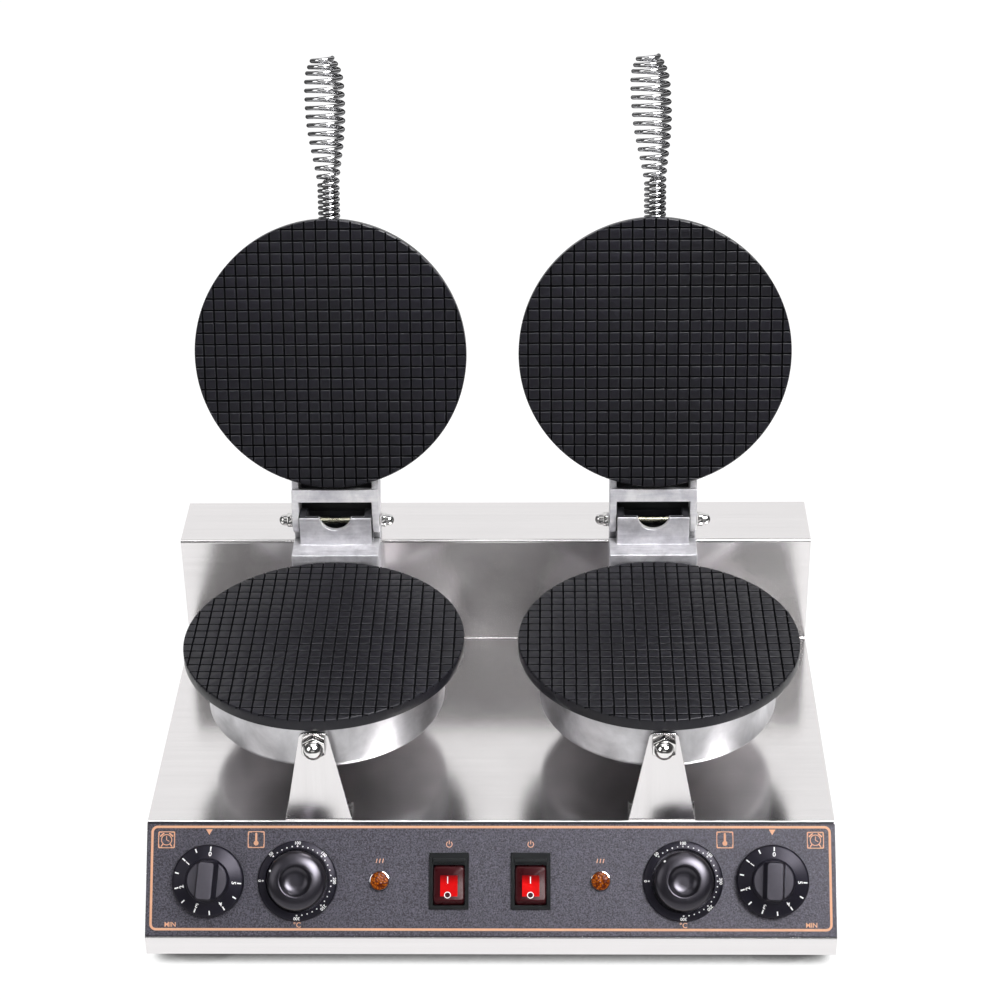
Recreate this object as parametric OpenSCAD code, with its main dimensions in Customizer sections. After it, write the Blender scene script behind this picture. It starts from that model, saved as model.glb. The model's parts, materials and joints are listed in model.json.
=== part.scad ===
// Double waffle cone maker, drawn with both lids open on their stops.
// Millimetres, +Z up, the controls face -Y, the feet stand on Z = 0.

/* [Cabinet] */
// overall width of the cabinet
cabinet_w = 480; // [470:1:560]
// depth of the flat deck, from its front edge to the riser
deck_d = 228; // [222:0.5:250]
// height of the riser above the deck
riser_h = 89.3; // [82:0.1:92]
// depth of the riser's top
riser_d = 59; // [48:0.5:80]
// how far the sloping front reaches forward of the deck
front_run = 51.2; // [48:0.1:60]
// how far the sloping front drops below the deck
slope_drop = 61.8; // [58:0.1:72]
// height of the upright lip under the sloping front
lip_h = 15.5; // [12:0.1:24]
// thickness of the folded sheet
sheet_t = 1.2; // [0.8:0.1:1.6]
// outside radius of the sheet's bends
bend_r = 2.2; // [1.8:0.1:4]
// width of the inward flanges that the screws hold
flange_w = 16; // [13:0.5:20]
// clear height under the cabinet
foot_h = 10; // [8:0.5:20]
// diameter of a foot at its top
foot_d = 30; // [22:0.5:36]
// distance of a foot's centre from the cabinet's edges
foot_inset = 38; // [34:0.5:60]
// width of a vent slot
vent_w = 3; // [2:0.1:4]
// length of a vent slot
vent_l = 40; // [20:0.5:60]
// slots in each group of vents
vent_n = 8; // [4:1:12]

// diameter of the cable gland's thread
gland_d = 16; // [12:0.5:20]
// length of the cable gland outside the cabinet
gland_out = 15; // [12:0.5:20]
// length of the cable gland inside the cabinet
gland_in = 14; // [12:0.5:20]
// distance of the cable gland from the cabinet's side
gland_side = 70; // [60:1:90]
// height of the cable gland above the floor plate
gland_up = 44; // [30:1:60]
// length of the terminal block
terminal_l = 64; // [52:1:76]
// depth of the terminal block
terminal_d = 22; // [18:0.5:28]
// height of the terminal block
terminal_h = 18; // [14:0.5:24]
// distance of the terminal block from the cabinet's side
terminal_side = 110; // [90:1:130]
// distance of the terminal block before the riser
terminal_back = 30; // [20:1:50]

/* [Control panel] */
// thickness of the printed fascia
fascia_t = 0.5; // [0.3:0.1:1]
// distance of the fascia's edges from the bends and from the cabinet's sides
fascia_edge = 0.2; // [0.1:0.1:1]
// controls' centre line, as a share of the slope below the deck's edge
control_share = 0.5084; // [0.48:0.0001:0.54]
// timers, half the distance between them as a share of the cabinet's width
timer_share = 0.40833; // [0.4:0.00001:0.42]
// temperature dials, half the distance between them as a share of the cabinet's width
dial_share = 0.27917; // [0.27:0.00001:0.29]
// lamps, half the distance between them as a share of the cabinet's width
lamp_share = 0.16; // [0.15:0.001:0.17]
// switches, half the distance between them as a share of the cabinet's width
switch_share = 0.05917; // [0.055:0.00001:0.07]
// diameter of a timer knob's skirt
timer_d = 50; // [46:0.5:54]
// height of a timer knob's skirt at its edge
timer_skirt_h = 5.6; // [3:0.1:7]
// diameter of a timer knob's boss
timer_boss_d = 29; // [26:0.5:34]
// height of a timer knob's boss above its skirt's edge
timer_boss_h = 5; // [4:0.1:7]
// height of a timer knob's grip above its boss
timer_grip_h = 10; // [8:0.5:13]
// width of a timer knob's grip at its top
timer_grip_w = 10.4; // [8:0.1:13]
// how far a timer knob's grip widens on each side towards its foot
timer_grip_draft = 3; // [1:0.1:4]
// angle of the left timer knob past 0, as drawn
left_timer_turn = 4.8; // [0:0.1:20]
// angle of the right timer knob past 0, as drawn
right_timer_turn = 2.5; // [0:0.1:20]
// outer diameter of a temperature dial
dial_d = 55.5; // [52:0.5:60]
// height of a temperature dial's ring
dial_h = 4.2; // [3:0.1:6]
// diameter of a temperature knob
knob_d = 40.6; // [38:0.2:44]
// height of a temperature knob
knob_h = 16.5; // [12:0.5:20]
// rounding of a temperature knob's shoulder
knob_round = 8; // [5:0.5:8.5]
// depth of the dish in a temperature knob
knob_dish = 4.5; // [2:0.25:5.5]
// radius of the dish in a temperature knob
knob_dish_r = 11.5; // [9:0.5:12]
// running gap between a knob and what is under it
knob_gap = 0.8; // [0.5:0.1:1.2]
// gap between a temperature knob and the ring round it
dial_gap = 1.4; // [0.8:0.1:2]
// diameter of the knobs' spindles
spindle_d = 6; // [5:0.1:7]
// diameter of the threaded bushes round the spindles
bush_d = 10; // [9:0.1:12]
// side of the timers and thermostats behind the panel
works_w = 44; // [36:0.5:48]
// depth of the timers and thermostats behind the panel
works_d = 20; // [17:0.5:22]
// outer diameter of a lamp's bezel
bezel_d = 14; // [13:0.1:16]
// diameter of a lamp's lens
lens_d = 12.4; // [11:0.1:12.6]
// height of a lamp's lens above the fascia
lens_h = 4.6; // [3.4:0.1:7]
// length of a lamp's body behind the fascia
lamp_l = 20; // [15:0.5:26]
// width of a switch's frame
frame_w = 27.5; // [26.6:0.1:31]
// height of a switch's frame
frame_h = 39; // [38:0.5:43]
// thickness of a switch's frame
frame_t = 2; // [1.5:0.1:3]
// width of a rocker
rocker_w = 21.4; // [19:0.1:22.4]
// length of a rocker
rocker_l = 27.8; // [25:0.1:28.4]
// how far a rocker sits below the middle of its frame
rocker_drop = 2.9; // [1.5:0.1:3]
// angle that a rocker turns between its two ends
rocker_turn = 14; // [8:0.5:16]

/* [Plates and drums] */
// distance between the two plates' centres
plate_pitch = 239.7; // [232:0.1:250]
// distance from a plate's rim back to the riser
plate_reach = 26.4; // [25:0.1:30]
// plate diameter
plate_d = 201.2; // [190:0.2:206]
// plate thickness
plate_t = 9.3; // [8:0.1:11]
// how far a lower plate's face lies below the riser's top
plate_drop = 2.3; // [1:0.1:4]
// gap between a pair of closed plates
plate_gap = 1; // [0.5:0.1:2]
// pitch of the waffle grid
grid_pitch = 8.5; // [7:0.1:11]
// width of a groove in the grid
groove_w = 1.3; // [0.8:0.1:2]
// depth of a groove in the grid
groove_d = 1.5; // [0.8:0.1:2.2]
// how far a plate's rim reaches out over its drum
rim_over = 15.3; // [12:0.1:18]
// least distance from a drum to its front bracket
drum_gap = 12.2; // [10:0.1:16]
// drum height
drum_h = 43.7; // [41:0.1:50]
// drum wall
drum_wall = 2.5; // [1.5:0.1:3.5]
// rounding of a drum's edge
drum_round = 5; // [4:0.1:9]
// distance from a drum's outside in to the middle of its heating ring
ring_in = 29.3; // [22:0.1:34]
// width of a heating ring
ring_w = 12; // [8:0.5:16]
// thickness of a heating ring
ring_t = 7; // [4:0.5:9]
// diameter of a heating ring's two ends
ring_end_d = 4.8; // [4:0.1:6]
// length of a heating ring's two ends
ring_end_l = 12; // [8:0.5:16]
// diameter of the sleeve that carries the leads to the deck
sleeve_d = 16; // [12:0.5:20]
// distance of that sleeve behind a plate's centre
sleeve_in = 32; // [26:0.5:34]
// length of that sleeve below the deck
sleeve_down = 8; // [7:0.5:12]
// how far that sleeve stands into the drum
sleeve_up = 4; // [2:0.5:8]
// length of a plate's screw in the post above the drum
plate_screw_in = 16; // [12:0.5:20]
// diameter of the post under a plate
post_d = 16; // [12:0.5:22]

/* [Hinges] */
// how far the pin lies behind the riser's front
pin_over = 3.3; // [2:0.1:6]
// height of the pin above a lower plate's face
pin_up = 19; // [18:0.1:21]
// pin diameter
pin_d = 5; // [4.5:0.1:6]
// overall width of a hinge
hinge_w = 65.5; // [60:0.5:76]
// thickness of an ear
ear_t = 5.2; // [4:0.1:6.5]
// radius of an ear round the pin
ear_r = 9.5; // [8.5:0.1:10]
// gap between an ear and the knuckle
ear_gap = 0.4; // [0.3:0.05:1]
// distance of the knuckle's front face before the pin
knuckle_front = 13.4; // [12:0.1:13.6]
// distance of the knuckle's back face behind the pin
knuckle_rear = 13; // [11:0.1:15]
// height of the knuckle above the pin
knuckle_up = 9.3; // [8:0.1:9.4]
// wall of the castings
cast_wall = 4; // [3:0.1:4.5]
// radius of the notch in the knuckle's front
notch_r = 11.8; // [8:0.1:13]
// height of the lower casting's shoulder above the plate
shoulder_up = 5; // [3:0.1:5.4]
// clear height under the lower casting
hinge_low = 40; // [36:0.5:50]
// width of the lower casting's neck
neck_w = 44; // [30:0.5:48]
// gap between a plate's rim and the upper casting's cross bar
bar_gap = 3.4; // [3.2:0.1:4.4]
// depth of the cross bar
bar_d = 9.6; // [6:0.1:9.8]
// height of the cross bar
bar_h = 8; // [5:0.1:9]
// distance of the cross bar from the level of the upper face
bar_in = 6; // [5.4:0.1:7]
// distance of the upper casting's cover from the pin
cover_short = 4; // [3:0.1:8]
// gap between the cover and the closed knuckle
cover_gap = 2.2; // [1.5:0.1:3]
// distance of the lower casting's bolts below the riser's top
bolt_drop = 28; // [24:0.5:34]
// distance of the lower casting's bolts from its sides
bolt_in = 13; // [11:0.5:16]
// length of the lower casting's bolts
bolt_l = 13; // [11:0.5:15]
// how far a lid swings between closed and its stop
lid_swing = 106.67; // [95:0.01:110]

/* [Handles] */
// distance of a handle's axis behind the upper plate's face
handle_in = 20; // [19.5:0.1:24]
// diameter of the stud inside the coil
stud_d = 8.6; // [7:0.1:9]
// length of the stud outside its collar
stud_l = 34; // [24:0.5:44]
// length of the hexagonal collar on the stud
collar_l = 6; // [4:0.5:8]
// wire diameter of the coil
wire_d = 3.2; // [2.6:0.1:3.4]
// outer diameter of the coil at its root
coil_root_d = 16.4; // [16:0.1:18]
// largest outer diameter of the coil
coil_max_d = 29.6; // [26:0.1:34]
// outer diameter of the coil's last turn
coil_tip_d = 17; // [14:0.1:20]
// close turns at the root
root_turns = 6.5; // [4:0.5:8]
// pitch of the close turns
root_pitch = 4.1; // [4:0.05:4.6]
// open turns along the grip
open_turns = 13; // [10:0.5:15]
// pitch of the open turns
open_pitch = 6.25; // [5:0.05:7]
// angle that the left coil's open turns lean to the left
left_coil_lean = 1; // [0:0.1:4]
// angle that the right coil's open turns lean to the left
right_coil_lean = 3.2; // [0:0.1:4]
// closing turns at the tip
tip_turns = 2.5; // [2:0.5:4]
// pitch of the closing turns
tip_pitch = 4.4; // [4.2:0.05:6]

/* [Front brackets] */
// thickness of a bracket
bracket_t = 2; // [1.5:0.1:3]
// distance of a bracket behind the deck's edge
bracket_in = 1.5; // [1.2:0.1:6]
// width of a bracket at its foot
bracket_foot_w = 46.6; // [40:0.2:56]
// width of a bracket at its top
bracket_top_w = 20.6; // [18:0.2:26]
// height of a bracket above its stud
bracket_over = 9.5; // [9.4:0.1:11]
// rounding of a bracket's top corners
bracket_round = 4; // [2:0.5:6]
// length of a bracket's foot on the deck
bracket_foot_d = 20; // [18:0.5:30]
// how far the bracket's stud lies below the plate's face
stud_drop = 21.5; // [20:0.5:28]
// half the distance between the screws in a bracket's foot
foot_screw_x = 17.4; // [12:0.1:17.6]
// distance of those screws from the foot's back edge
foot_screw_in = 8; // [7:0.5:10]

/* [Fits] */
// running clearance of a shaft, on the radius
run_fit = 0.05; // [0.02:0.01:0.1]
// clearance of what is pushed or screwed together, on the radius
seat_fit = 0.1; // [0.05:0.01:0.2]
// gap left at a lid's stop
stop_gap = 0.1; // [0.05:0.01:0.3]
// gap between a plate's rim and the castings
rim_gap = 0.8; // [0.5:0.1:1.5]

/* [Hidden] */
$fn = 96;

slope = atan2(slope_drop, front_run);
front_drop = slope_drop + lip_h;
slope_l = norm([front_run, slope_drop]);
control_t = control_share * slope_l;
timer_x = timer_share * cabinet_w;
dial_x = dial_share * cabinet_w;
lamp_x = lamp_share * cabinet_w;
switch_x = switch_share * cabinet_w;
back = deck_d + riser_d;
inner_w = cabinet_w - 2 * sheet_t;
floor_z = -front_drop + sheet_t;
plate_x = plate_pitch / 2;
plate_r = plate_d / 2;
plate_back = plate_r + plate_reach;
plate_y = deck_d - plate_back;
plate_top = riser_h - plate_drop;
// a drum follows its plate, and keeps clear of its bracket where the deck is short
drum_r = min(plate_r - rim_over, plate_y - bracket_in - bracket_t - drum_gap);
ring_d = 2 * (drum_r - ring_in);
pin_back = plate_back + pin_over;
bar_out = plate_r + bar_gap;
stud_up = plate_top - stud_drop;
bracket_h = stud_up + bracket_over;
pin_y = plate_y + pin_back;
pin_z = plate_top + pin_up;
pin_rise = pin_up - plate_gap;
pin_r = pin_d / 2;
knuckle_w = hinge_w - 2 * (ear_t + ear_gap);
cover_z = pin_rise + knuckle_up + cover_gap;
cover_end = pin_back - cover_short;
post_h = drum_h - drum_wall;
// M4, M5, M6 and M10 fasteners: radius, head or nut across corners, height, dome and its collar
m4_r = 2;
m6_r = 3;
m10_r = 5;
m5_nut_r = 4.62;
m5_nut_h = 4;
m5_dome_r = 3.75;
m5_collar = 2;
m6_nut_r = 5.77;
m6_nut_h = 5;
m10_nut_r = 9.24;
m10_nut_h = 5.5;
m10_dome_r = 6.9;
m10_collar = 0.3;
// longer than any single piece that a hole runs through
through = front_drop + riser_h;
knob_z = fascia_t + knob_gap;
rocker_z = -2;
rocker_r = rocker_l / 2;
// the farthest point behind: the widest turns of an open handle
grip_out = drum_r + collar_l + wire_d + root_turns * root_pitch + 0.85 * open_turns * open_pitch;
lid_back = pin_y - (grip_out + pin_back) * cos(lid_swing)
  + (handle_in + coil_max_d / 2 - pin_rise) * sin(lid_swing);
deck_y = (front_run - lid_back) / 2;
deck_z = foot_h + front_drop;

// places

module at_deck() translate([0, deck_y, deck_z]) children();

module at_panel(x) at_deck() rotate([slope, 0, 0]) translate([x, -control_t, 0]) children();

module at_plate(side) at_deck() translate([side * plate_x, plate_y, plate_top]) children();

module at_lid(side) at_deck() translate([side * plate_x, pin_y, pin_z]) rotate([-lid_swing, 0, 0])
  translate([0, -pin_back, -pin_rise]) children();

module along_x(w) rotate([90, 0, 90]) linear_extrude(height = w, center = true) children();

module pair(d) for (s = [-1, 1]) translate([s * d, 0, 0]) children();

// folded sheet

function unit(v) = v / norm(v);
function right_of(d) = [d[1], -d[0]];
function corner(p, i) = p[(i + len(p)) % len(p)];
function leg(p, i) = unit(corner(p, i + 1) - corner(p, i));
function bend(p, i) = let (a = leg(p, i - 1), b = leg(p, i)) sign(a[0] * b[1] - a[1] * b[0]) * acos(a * b);
function tangent(p, i, r) = r * tan(abs(bend(p, i)) / 2);
// the same outline, one sheet further in; the outline runs with its inside on the right
function inset(p, d) = [for (i = [0 : len(p) - 1]) let (a = leg(p, i - 1), b = leg(p, i))
  p[i] + (right_of(a) + right_of(b)) * d / (1 + a * b)];

// an outline whose corners have the radii r
module rounded(p, r) {
  difference() {
    polygon(p);
    for (i = [0 : len(p) - 1]) if (r[i] > 0 && bend(p, i) < 0) round_part(p, i, r[i], -0.02);
  }
  for (i = [0 : len(p) - 1]) if (r[i] > 0 && bend(p, i) > 0) round_part(p, i, r[i], 0.4);
}

// what a radius takes off an outer corner, or adds to an inner one
module round_part(p, i, r, reach) {
  a = leg(p, i - 1);
  b = leg(p, i);
  t = tangent(p, i, r);
  c = p[i] - a * t - right_of(a) * r * sign(bend(p, i));
  difference() {
    polygon([p[i] + (right_of(a) + right_of(b)) * reach, p[i] - a * t, c, p[i] + b * t]);
    // an outer arc is a hair larger, so that it crosses both sides
    translate(c) circle(reach < 0 ? r + 0.004 : r);
  }
}

shell_outline = [
  [-front_run, -front_drop], [-front_run, -slope_drop], [0, 0], [deck_d, 0], [deck_d, riser_h],
  [back - sheet_t, riser_h], [back - sheet_t, -front_drop]
];
bend_in = bend_r - sheet_t;
// the fascia lies between the bends of the slope
fascia_gap = tangent(shell_outline, 2, bend_r) + fascia_edge;
fascia_h = slope_l - fascia_gap - tangent(shell_outline, 1, bend_r) - fascia_edge;

module shell_profile() difference() {
  rounded(shell_outline, [bend_r, bend_r, bend_r, bend_in, bend_r, bend_r, 0]);
  rounded(inset(shell_outline, sheet_t), [bend_in, bend_in, bend_in, bend_r, bend_in, bend_in, 0]);
  translate([-front_run + flange_w, -front_drop - 1]) square([back + front_run, sheet_t + 2]);
  translate([back - 3 * sheet_t, -front_drop - 1])
    square([3 * sheet_t, front_drop + riser_h - flange_w + 1]);
}

module side_outline() rounded([
  [-front_run, -front_drop], [-front_run, -slope_drop], [0, 0], [deck_d, 0], [deck_d, riser_h],
  [back - sheet_t, riser_h], [back - sheet_t, riser_h - 1.2 * bend_r], [back, riser_h - 1.2 * bend_r],
  [back, -front_drop]
], [bend_r, bend_r, bend_r, bend_in, bend_r, bend_r, 0, 0, 0]);

module floor_profile() rounded([
  [back - sheet_t, floor_z + flange_w], [back - sheet_t, floor_z], [-front_run + 8, floor_z],
  [-front_run + 8, floor_z + sheet_t], [back - 2 * sheet_t, floor_z + sheet_t],
  [back - 2 * sheet_t, floor_z + flange_w]
], [0, bend_r, 0, 0, bend_in, 0]);

// fasteners, standing on Z = 0 with the shank below

module pan_screw(r, l) {
  translate([0, 0, -l]) cylinder(r = r, h = l);
  cylinder(r1 = r * 1.9, r2 = r * 1.5, h = r * 1.1);
}

module hex_bolt(r, nut_r, head_h, l) {
  translate([0, 0, -l]) cylinder(r = r, h = l);
  cylinder(r = nut_r, h = head_h, $fn = 6);
}

module hex_nut(bore_r, nut_r, nut_h) difference() {
  intersection() {
    cylinder(r = nut_r, h = nut_h, $fn = 6);
    cylinder(r1 = nut_r + nut_h * 1.4 - 0.6, r2 = nut_r - 0.6, h = nut_h);
  }
  translate([0, 0, -1]) cylinder(r = bore_r, h = nut_h + 2);
}

module acorn(bore_r, nut_r, nut_h, dome_r, collar) difference() {
  union() {
    intersection() {
      cylinder(r = nut_r, h = nut_h, $fn = 6);
      cylinder(r1 = nut_r + nut_h * 1.4 - 0.6, r2 = nut_r - 0.6, h = nut_h);
    }
    cylinder(r = dome_r, h = nut_h + collar);
    translate([0, 0, nut_h + collar]) intersection() {
      sphere(r = dome_r);
      cylinder(r = dome_r + 1, h = dome_r + 1);
    }
  }
  translate([0, 0, -1]) cylinder(r = bore_r, h = nut_h + 2);
}

// cabinet

module foot_places() for (y = [-front_run + foot_inset, back - foot_inset])
  translate([0, y, floor_z]) pair(cabinet_w / 2 - foot_inset) children();

module rear_screws() translate([0, back, 0]) rotate([-90, 0, 0])
  for (z = [riser_h - flange_w / 2 - 1, floor_z + flange_w / 2 + 1], x = [-0.42, 0, 0.42])
    translate([x * inner_w, -z, 0]) children();

module floor_screws() translate([0, -front_run + flange_w - 5, -front_drop]) rotate([180, 0, 0])
  for (x = [-0.4, 0, 0.4]) translate([x * inner_w, 0, 0]) children();

module vents() for (i = [0 : vent_n - 1]) translate([0, (i - (vent_n - 1) / 2) * vent_w * 2.4, 0]) {
  cube([vent_l - vent_w, vent_w, 20], center = true);
  pair((vent_l - vent_w) / 2) cylinder(d = vent_w, h = 20, center = true);
}

module at_foot_screws() for (s = [-1, 1])
  translate([s * plate_x, bracket_in + bracket_foot_d - foot_screw_in, 0]) pair(foot_screw_x) children();

module foot_holes(r) at_foot_screws() cylinder(r = r, h = 12, center = true);

module riser_holes(r) for (s = [-1, 1]) translate([s * plate_x, deck_d, riser_h - bolt_drop])
  rotate([90, 0, 0]) pair(hinge_w / 2 - bolt_in) cylinder(r = r, h = 12, center = true);

module sleeve_places() for (s = [-1, 1]) translate([s * plate_x, plate_y + sleeve_in, 0]) children();

module panel_holes(extra) {
  pair(timer_x) cylinder(d = bush_d + extra, h = 12, center = true);
  pair(dial_x) cylinder(d = bush_d + extra, h = 12, center = true);
  pair(lamp_x) cylinder(d = bezel_d - 3 + extra, h = 12, center = true);
  pair(switch_x) cube([frame_w - 2.6 + extra, frame_h - 3 + extra, 12], center = true);
}

module body_shell() color("silver") difference() {
  at_deck() along_x(inner_w) shell_profile();
  at_panel(0) panel_holes(2 * seat_fit);
  at_deck() {
    foot_holes(m6_r + seat_fit);
    riser_holes(m6_r + seat_fit);
    sleeve_places() cylinder(d = sleeve_d + 2 * seat_fit, h = 12, center = true);
    rear_screws() translate([0, 0, -12]) cylinder(r = m4_r + seat_fit, h = 14);
    floor_screws() translate([0, 0, -12]) cylinder(r = m4_r + seat_fit, h = 14);
  }
}

module side_panel(side) at_deck() translate([side * (cabinet_w - sheet_t) / 2, 0, 0])
  along_x(sheet_t) side_outline();

module left_side_panel() color("silver") side_panel(-1);

module right_side_panel() color("silver") side_panel(1);

// where the supply lead enters
module at_gland() translate([cabinet_w / 2 - gland_side, back, floor_z + gland_up]) rotate([-90, 0, 0])
  children();

module rear_panel() color("silver") at_deck() difference() {
  translate([-inner_w / 2, back - sheet_t, -front_drop])
    cube([inner_w, sheet_t, front_drop + riser_h - 1.2 * bend_r]);
  rear_screws() translate([0, 0, -12]) cylinder(r = m4_r + seat_fit, h = 14);
  translate([0, back, 20]) rotate([90, 0, 0]) pair(cabinet_w * 0.28) vents();
  at_gland() cylinder(d = gland_d + 2 * seat_fit, h = 12, center = true);
}

module bottom_plate() color("silver") at_deck() difference() {
  along_x(inner_w) floor_profile();
  foot_places() cylinder(r = m6_r + seat_fit, h = 12, center = true);
  rear_screws() translate([0, 0, -12]) cylinder(r = m4_r + seat_fit, h = 14);
  floor_screws() translate([0, 0, -12]) cylinder(r = m4_r + seat_fit, h = 14);
  translate([0, deck_d / 2, floor_z]) pair(cabinet_w / 4) rotate([0, 0, 90]) vents();
}

module rubber_feet() color("black") at_deck() foot_places() difference() {
  translate([0, 0, -foot_h - sheet_t]) cylinder(d1 = foot_d - 5, d2 = foot_d, h = foot_h + sheet_t);
  translate([0, 0, -foot_h - sheet_t - 1]) cylinder(r = 7, h = foot_h / 2 + 1);
  cylinder(r = m6_r + seat_fit, h = through, center = true);
}

module foot_screws() color("gainsboro") at_deck() foot_places()
  translate([0, 0, -foot_h / 2 - sheet_t]) rotate([180, 0, 0])
    pan_screw(m6_r, foot_h / 2 + 2 * sheet_t + 6);

module case_screws() color("gainsboro") at_deck() {
  rear_screws() pan_screw(m4_r, 9);
  floor_screws() pan_screw(m4_r, 9);
}

module cable_gland() color("dimgray") at_deck() at_gland() difference() {
  union() {
    translate([0, 0, -gland_in]) cylinder(d = gland_d, h = gland_in + 2);
    cylinder(d = 1.5 * gland_d, h = 0.4 * gland_out, $fn = 6);
    cylinder(d1 = 1.25 * gland_d, d2 = gland_d, h = gland_out);
    translate([0, 0, -sheet_t - 5]) cylinder(d = 1.5 * gland_d, h = 5, $fn = 6);
  }
  translate([0, 0, -gland_in - 1]) cylinder(d = 0.56 * gland_d, h = gland_in + gland_out + 2);
}

module terminal_block() color("ivory") at_deck()
  translate([cabinet_w / 2 - terminal_side, deck_d - terminal_back, floor_z + sheet_t]) difference() {
    translate([-terminal_l / 2, -terminal_d / 2, 0]) cube([terminal_l, terminal_d, terminal_h]);
    for (i = [-2 : 2]) translate([i * terminal_l * 3 / 16, 0, terminal_h / 2]) {
      cylinder(r = 3, h = terminal_h);
      rotate([90, 0, 0]) cylinder(r = 2.4, h = 2 * terminal_d, center = true);
    }
  }

// control panel

module control_fascia() color("dimgray") difference() {
  at_deck() rotate([slope, 0, 0]) translate([-cabinet_w / 2 + fascia_edge, -fascia_gap - fascia_h, 0])
    cube([cabinet_w - 2 * fascia_edge, fascia_h, fascia_t]);
  at_panel(0) panel_holes(2 * seat_fit);
}

module works(depth) difference() {
  union() {
    translate([-works_w / 2, -works_w / 2, -sheet_t - depth]) cube([works_w, works_w, depth]);
    translate([0, 0, -sheet_t - 1]) cylinder(d = bush_d, h = sheet_t + fascia_t + 1.3);
  }
  translate([0, 0, -depth + 2]) cylinder(d = spindle_d + 2 * run_fit, h = through);
}

module left_timer() color("whitesmoke") at_panel(-timer_x) works(works_d);

module right_timer() color("whitesmoke") at_panel(timer_x) works(works_d);

module left_thermostat() color("tan") at_panel(-dial_x) works(works_d - 2);

module right_thermostat() color("tan") at_panel(dial_x) works(works_d - 2);

module spindle(depth) translate([0, 0, -depth + 3]) cylinder(d = spindle_d, h = depth);

module timer_knob(turn) rotate([0, 0, -turn]) {
  edge = timer_d / 2;
  boss = timer_boss_d / 2;
  top = timer_skirt_h + timer_boss_h;
  grip = top + timer_grip_h;
  translate([0, 0, knob_z]) {
    rotate_extrude() polygon([
      [0, 0], [edge, 0], [edge, timer_skirt_h - 1.4], [edge - 1.6, timer_skirt_h],
      [boss + 1, timer_skirt_h + 1.6], [boss, top - 0.8], [boss - 1.2, top], [0, top]
    ]);
    intersection() {
      cylinder(r1 = boss + 0.6, r2 = boss - 1, h = grip + knob_z);
      along_x(timer_d) {
        translate([-boss + 1, top - 2]) square([2 * boss - 2, timer_grip_h]);
        translate([-boss + 3, top - 2]) square([2 * boss - 6, timer_grip_h + 2]);
        for (y = [-1, 1]) translate([y * (boss - 3), grip - 2]) circle(2);
      }
      rotate([90, 0, 0]) linear_extrude(height = timer_d, center = true) polygon([
        [-timer_grip_w / 2 - timer_grip_draft, top - 3], [timer_grip_w / 2 + timer_grip_draft, top - 3],
        [timer_grip_w / 2, grip + 1], [-timer_grip_w / 2, grip + 1]
      ]);
    }
  }
  spindle(works_d);
}

module left_timer_knob() color("black") at_panel(-timer_x) timer_knob(left_timer_turn);

module right_timer_knob() color("black") at_panel(timer_x) timer_knob(right_timer_turn);

module temperature_dial() translate([0, 0, fascia_t]) rotate_extrude() polygon([
  [knob_d / 2 + dial_gap, 0], [dial_d / 2, 0], [dial_d / 2, 1.4], [dial_d / 2 - 1, dial_h - 0.8],
  [knob_d / 2 + dial_gap + 0.6, dial_h], [knob_d / 2 + dial_gap, dial_h - 0.6]
]);

module left_temperature_dial() color("black") at_panel(-dial_x) temperature_dial();

module right_temperature_dial() color("black") at_panel(dial_x) temperature_dial();

module temperature_knob() {
  dish = (knob_dish_r * knob_dish_r + knob_dish * knob_dish) / (2 * knob_dish);
  translate([0, 0, knob_z]) difference() {
    rotate_extrude() {
      square([knob_d / 2 - knob_round, knob_h]);
      square([knob_d / 2, knob_h - knob_round]);
      translate([knob_d / 2 - knob_round, knob_h - knob_round]) circle(knob_round);
    }
    translate([0, 0, knob_h + dish - knob_dish]) sphere(r = dish);
  }
  spindle(works_d - 2);
}

module left_temperature_knob() color("black") at_panel(-dial_x) temperature_knob();

module right_temperature_knob() color("black") at_panel(dial_x) temperature_knob();

module lamp_bezels() color("gainsboro") at_panel(0) pair(lamp_x) translate([0, 0, fascia_t]) difference() {
  union() {
    cylinder(d1 = bezel_d, d2 = bezel_d - 0.8, h = 2);
    translate([0, 0, -lamp_l]) cylinder(d = bezel_d - 3, h = lamp_l + 1);
    translate([0, 0, -fascia_t - sheet_t - 3]) cylinder(d = bezel_d + 3, h = 3, $fn = 6);
  }
  translate([0, 0, 1]) cylinder(d = lens_d + 2 * seat_fit, h = 5);
}

module lamp_lenses() color("orange") at_panel(0) pair(lamp_x) translate([0, 0, fascia_t + 1]) {
  cylinder(d = lens_d, h = lens_h - 2.4);
  translate([0, 0, lens_h - 2.4]) cylinder(d1 = lens_d, d2 = lens_d - 2, h = 0.8, $fn = 12);
  translate([0, 0, lens_h - 1.6]) cylinder(d1 = lens_d - 2, d2 = lens_d / 2, h = 0.6, $fn = 12);
}

module switch_frame() difference() {
  union() {
    translate([-frame_w / 2, -frame_h / 2, fascia_t]) cube([frame_w, frame_h, frame_t]);
    translate([-frame_w / 2 + 1.3, -frame_h / 2 + 1.5, -26]) cube([frame_w - 2.6, frame_h - 3, 27]);
    // the raised hood above the rocker
    translate([0, -rocker_drop + rocker_r + 1.2, fascia_t + frame_t]) intersection() {
      translate([-rocker_w / 2 - 0.6, 0, -1]) cube([rocker_w + 1.2, 3.6, 2.4]);
      translate([0, 1.6, 0]) rotate([0, 90, 0]) cylinder(r = 1.8, h = through, center = true);
    }
  }
  // the well in which the rocker turns
  translate([0, -rocker_drop, rocker_z]) rotate([0, 90, 0])
    cylinder(r = rocker_r + 0.5, h = rocker_w + 0.6, center = true);
}

module left_switch_frame() color("black") at_panel(-switch_x) switch_frame();

module right_switch_frame() color("black") at_panel(switch_x) switch_frame();

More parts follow.
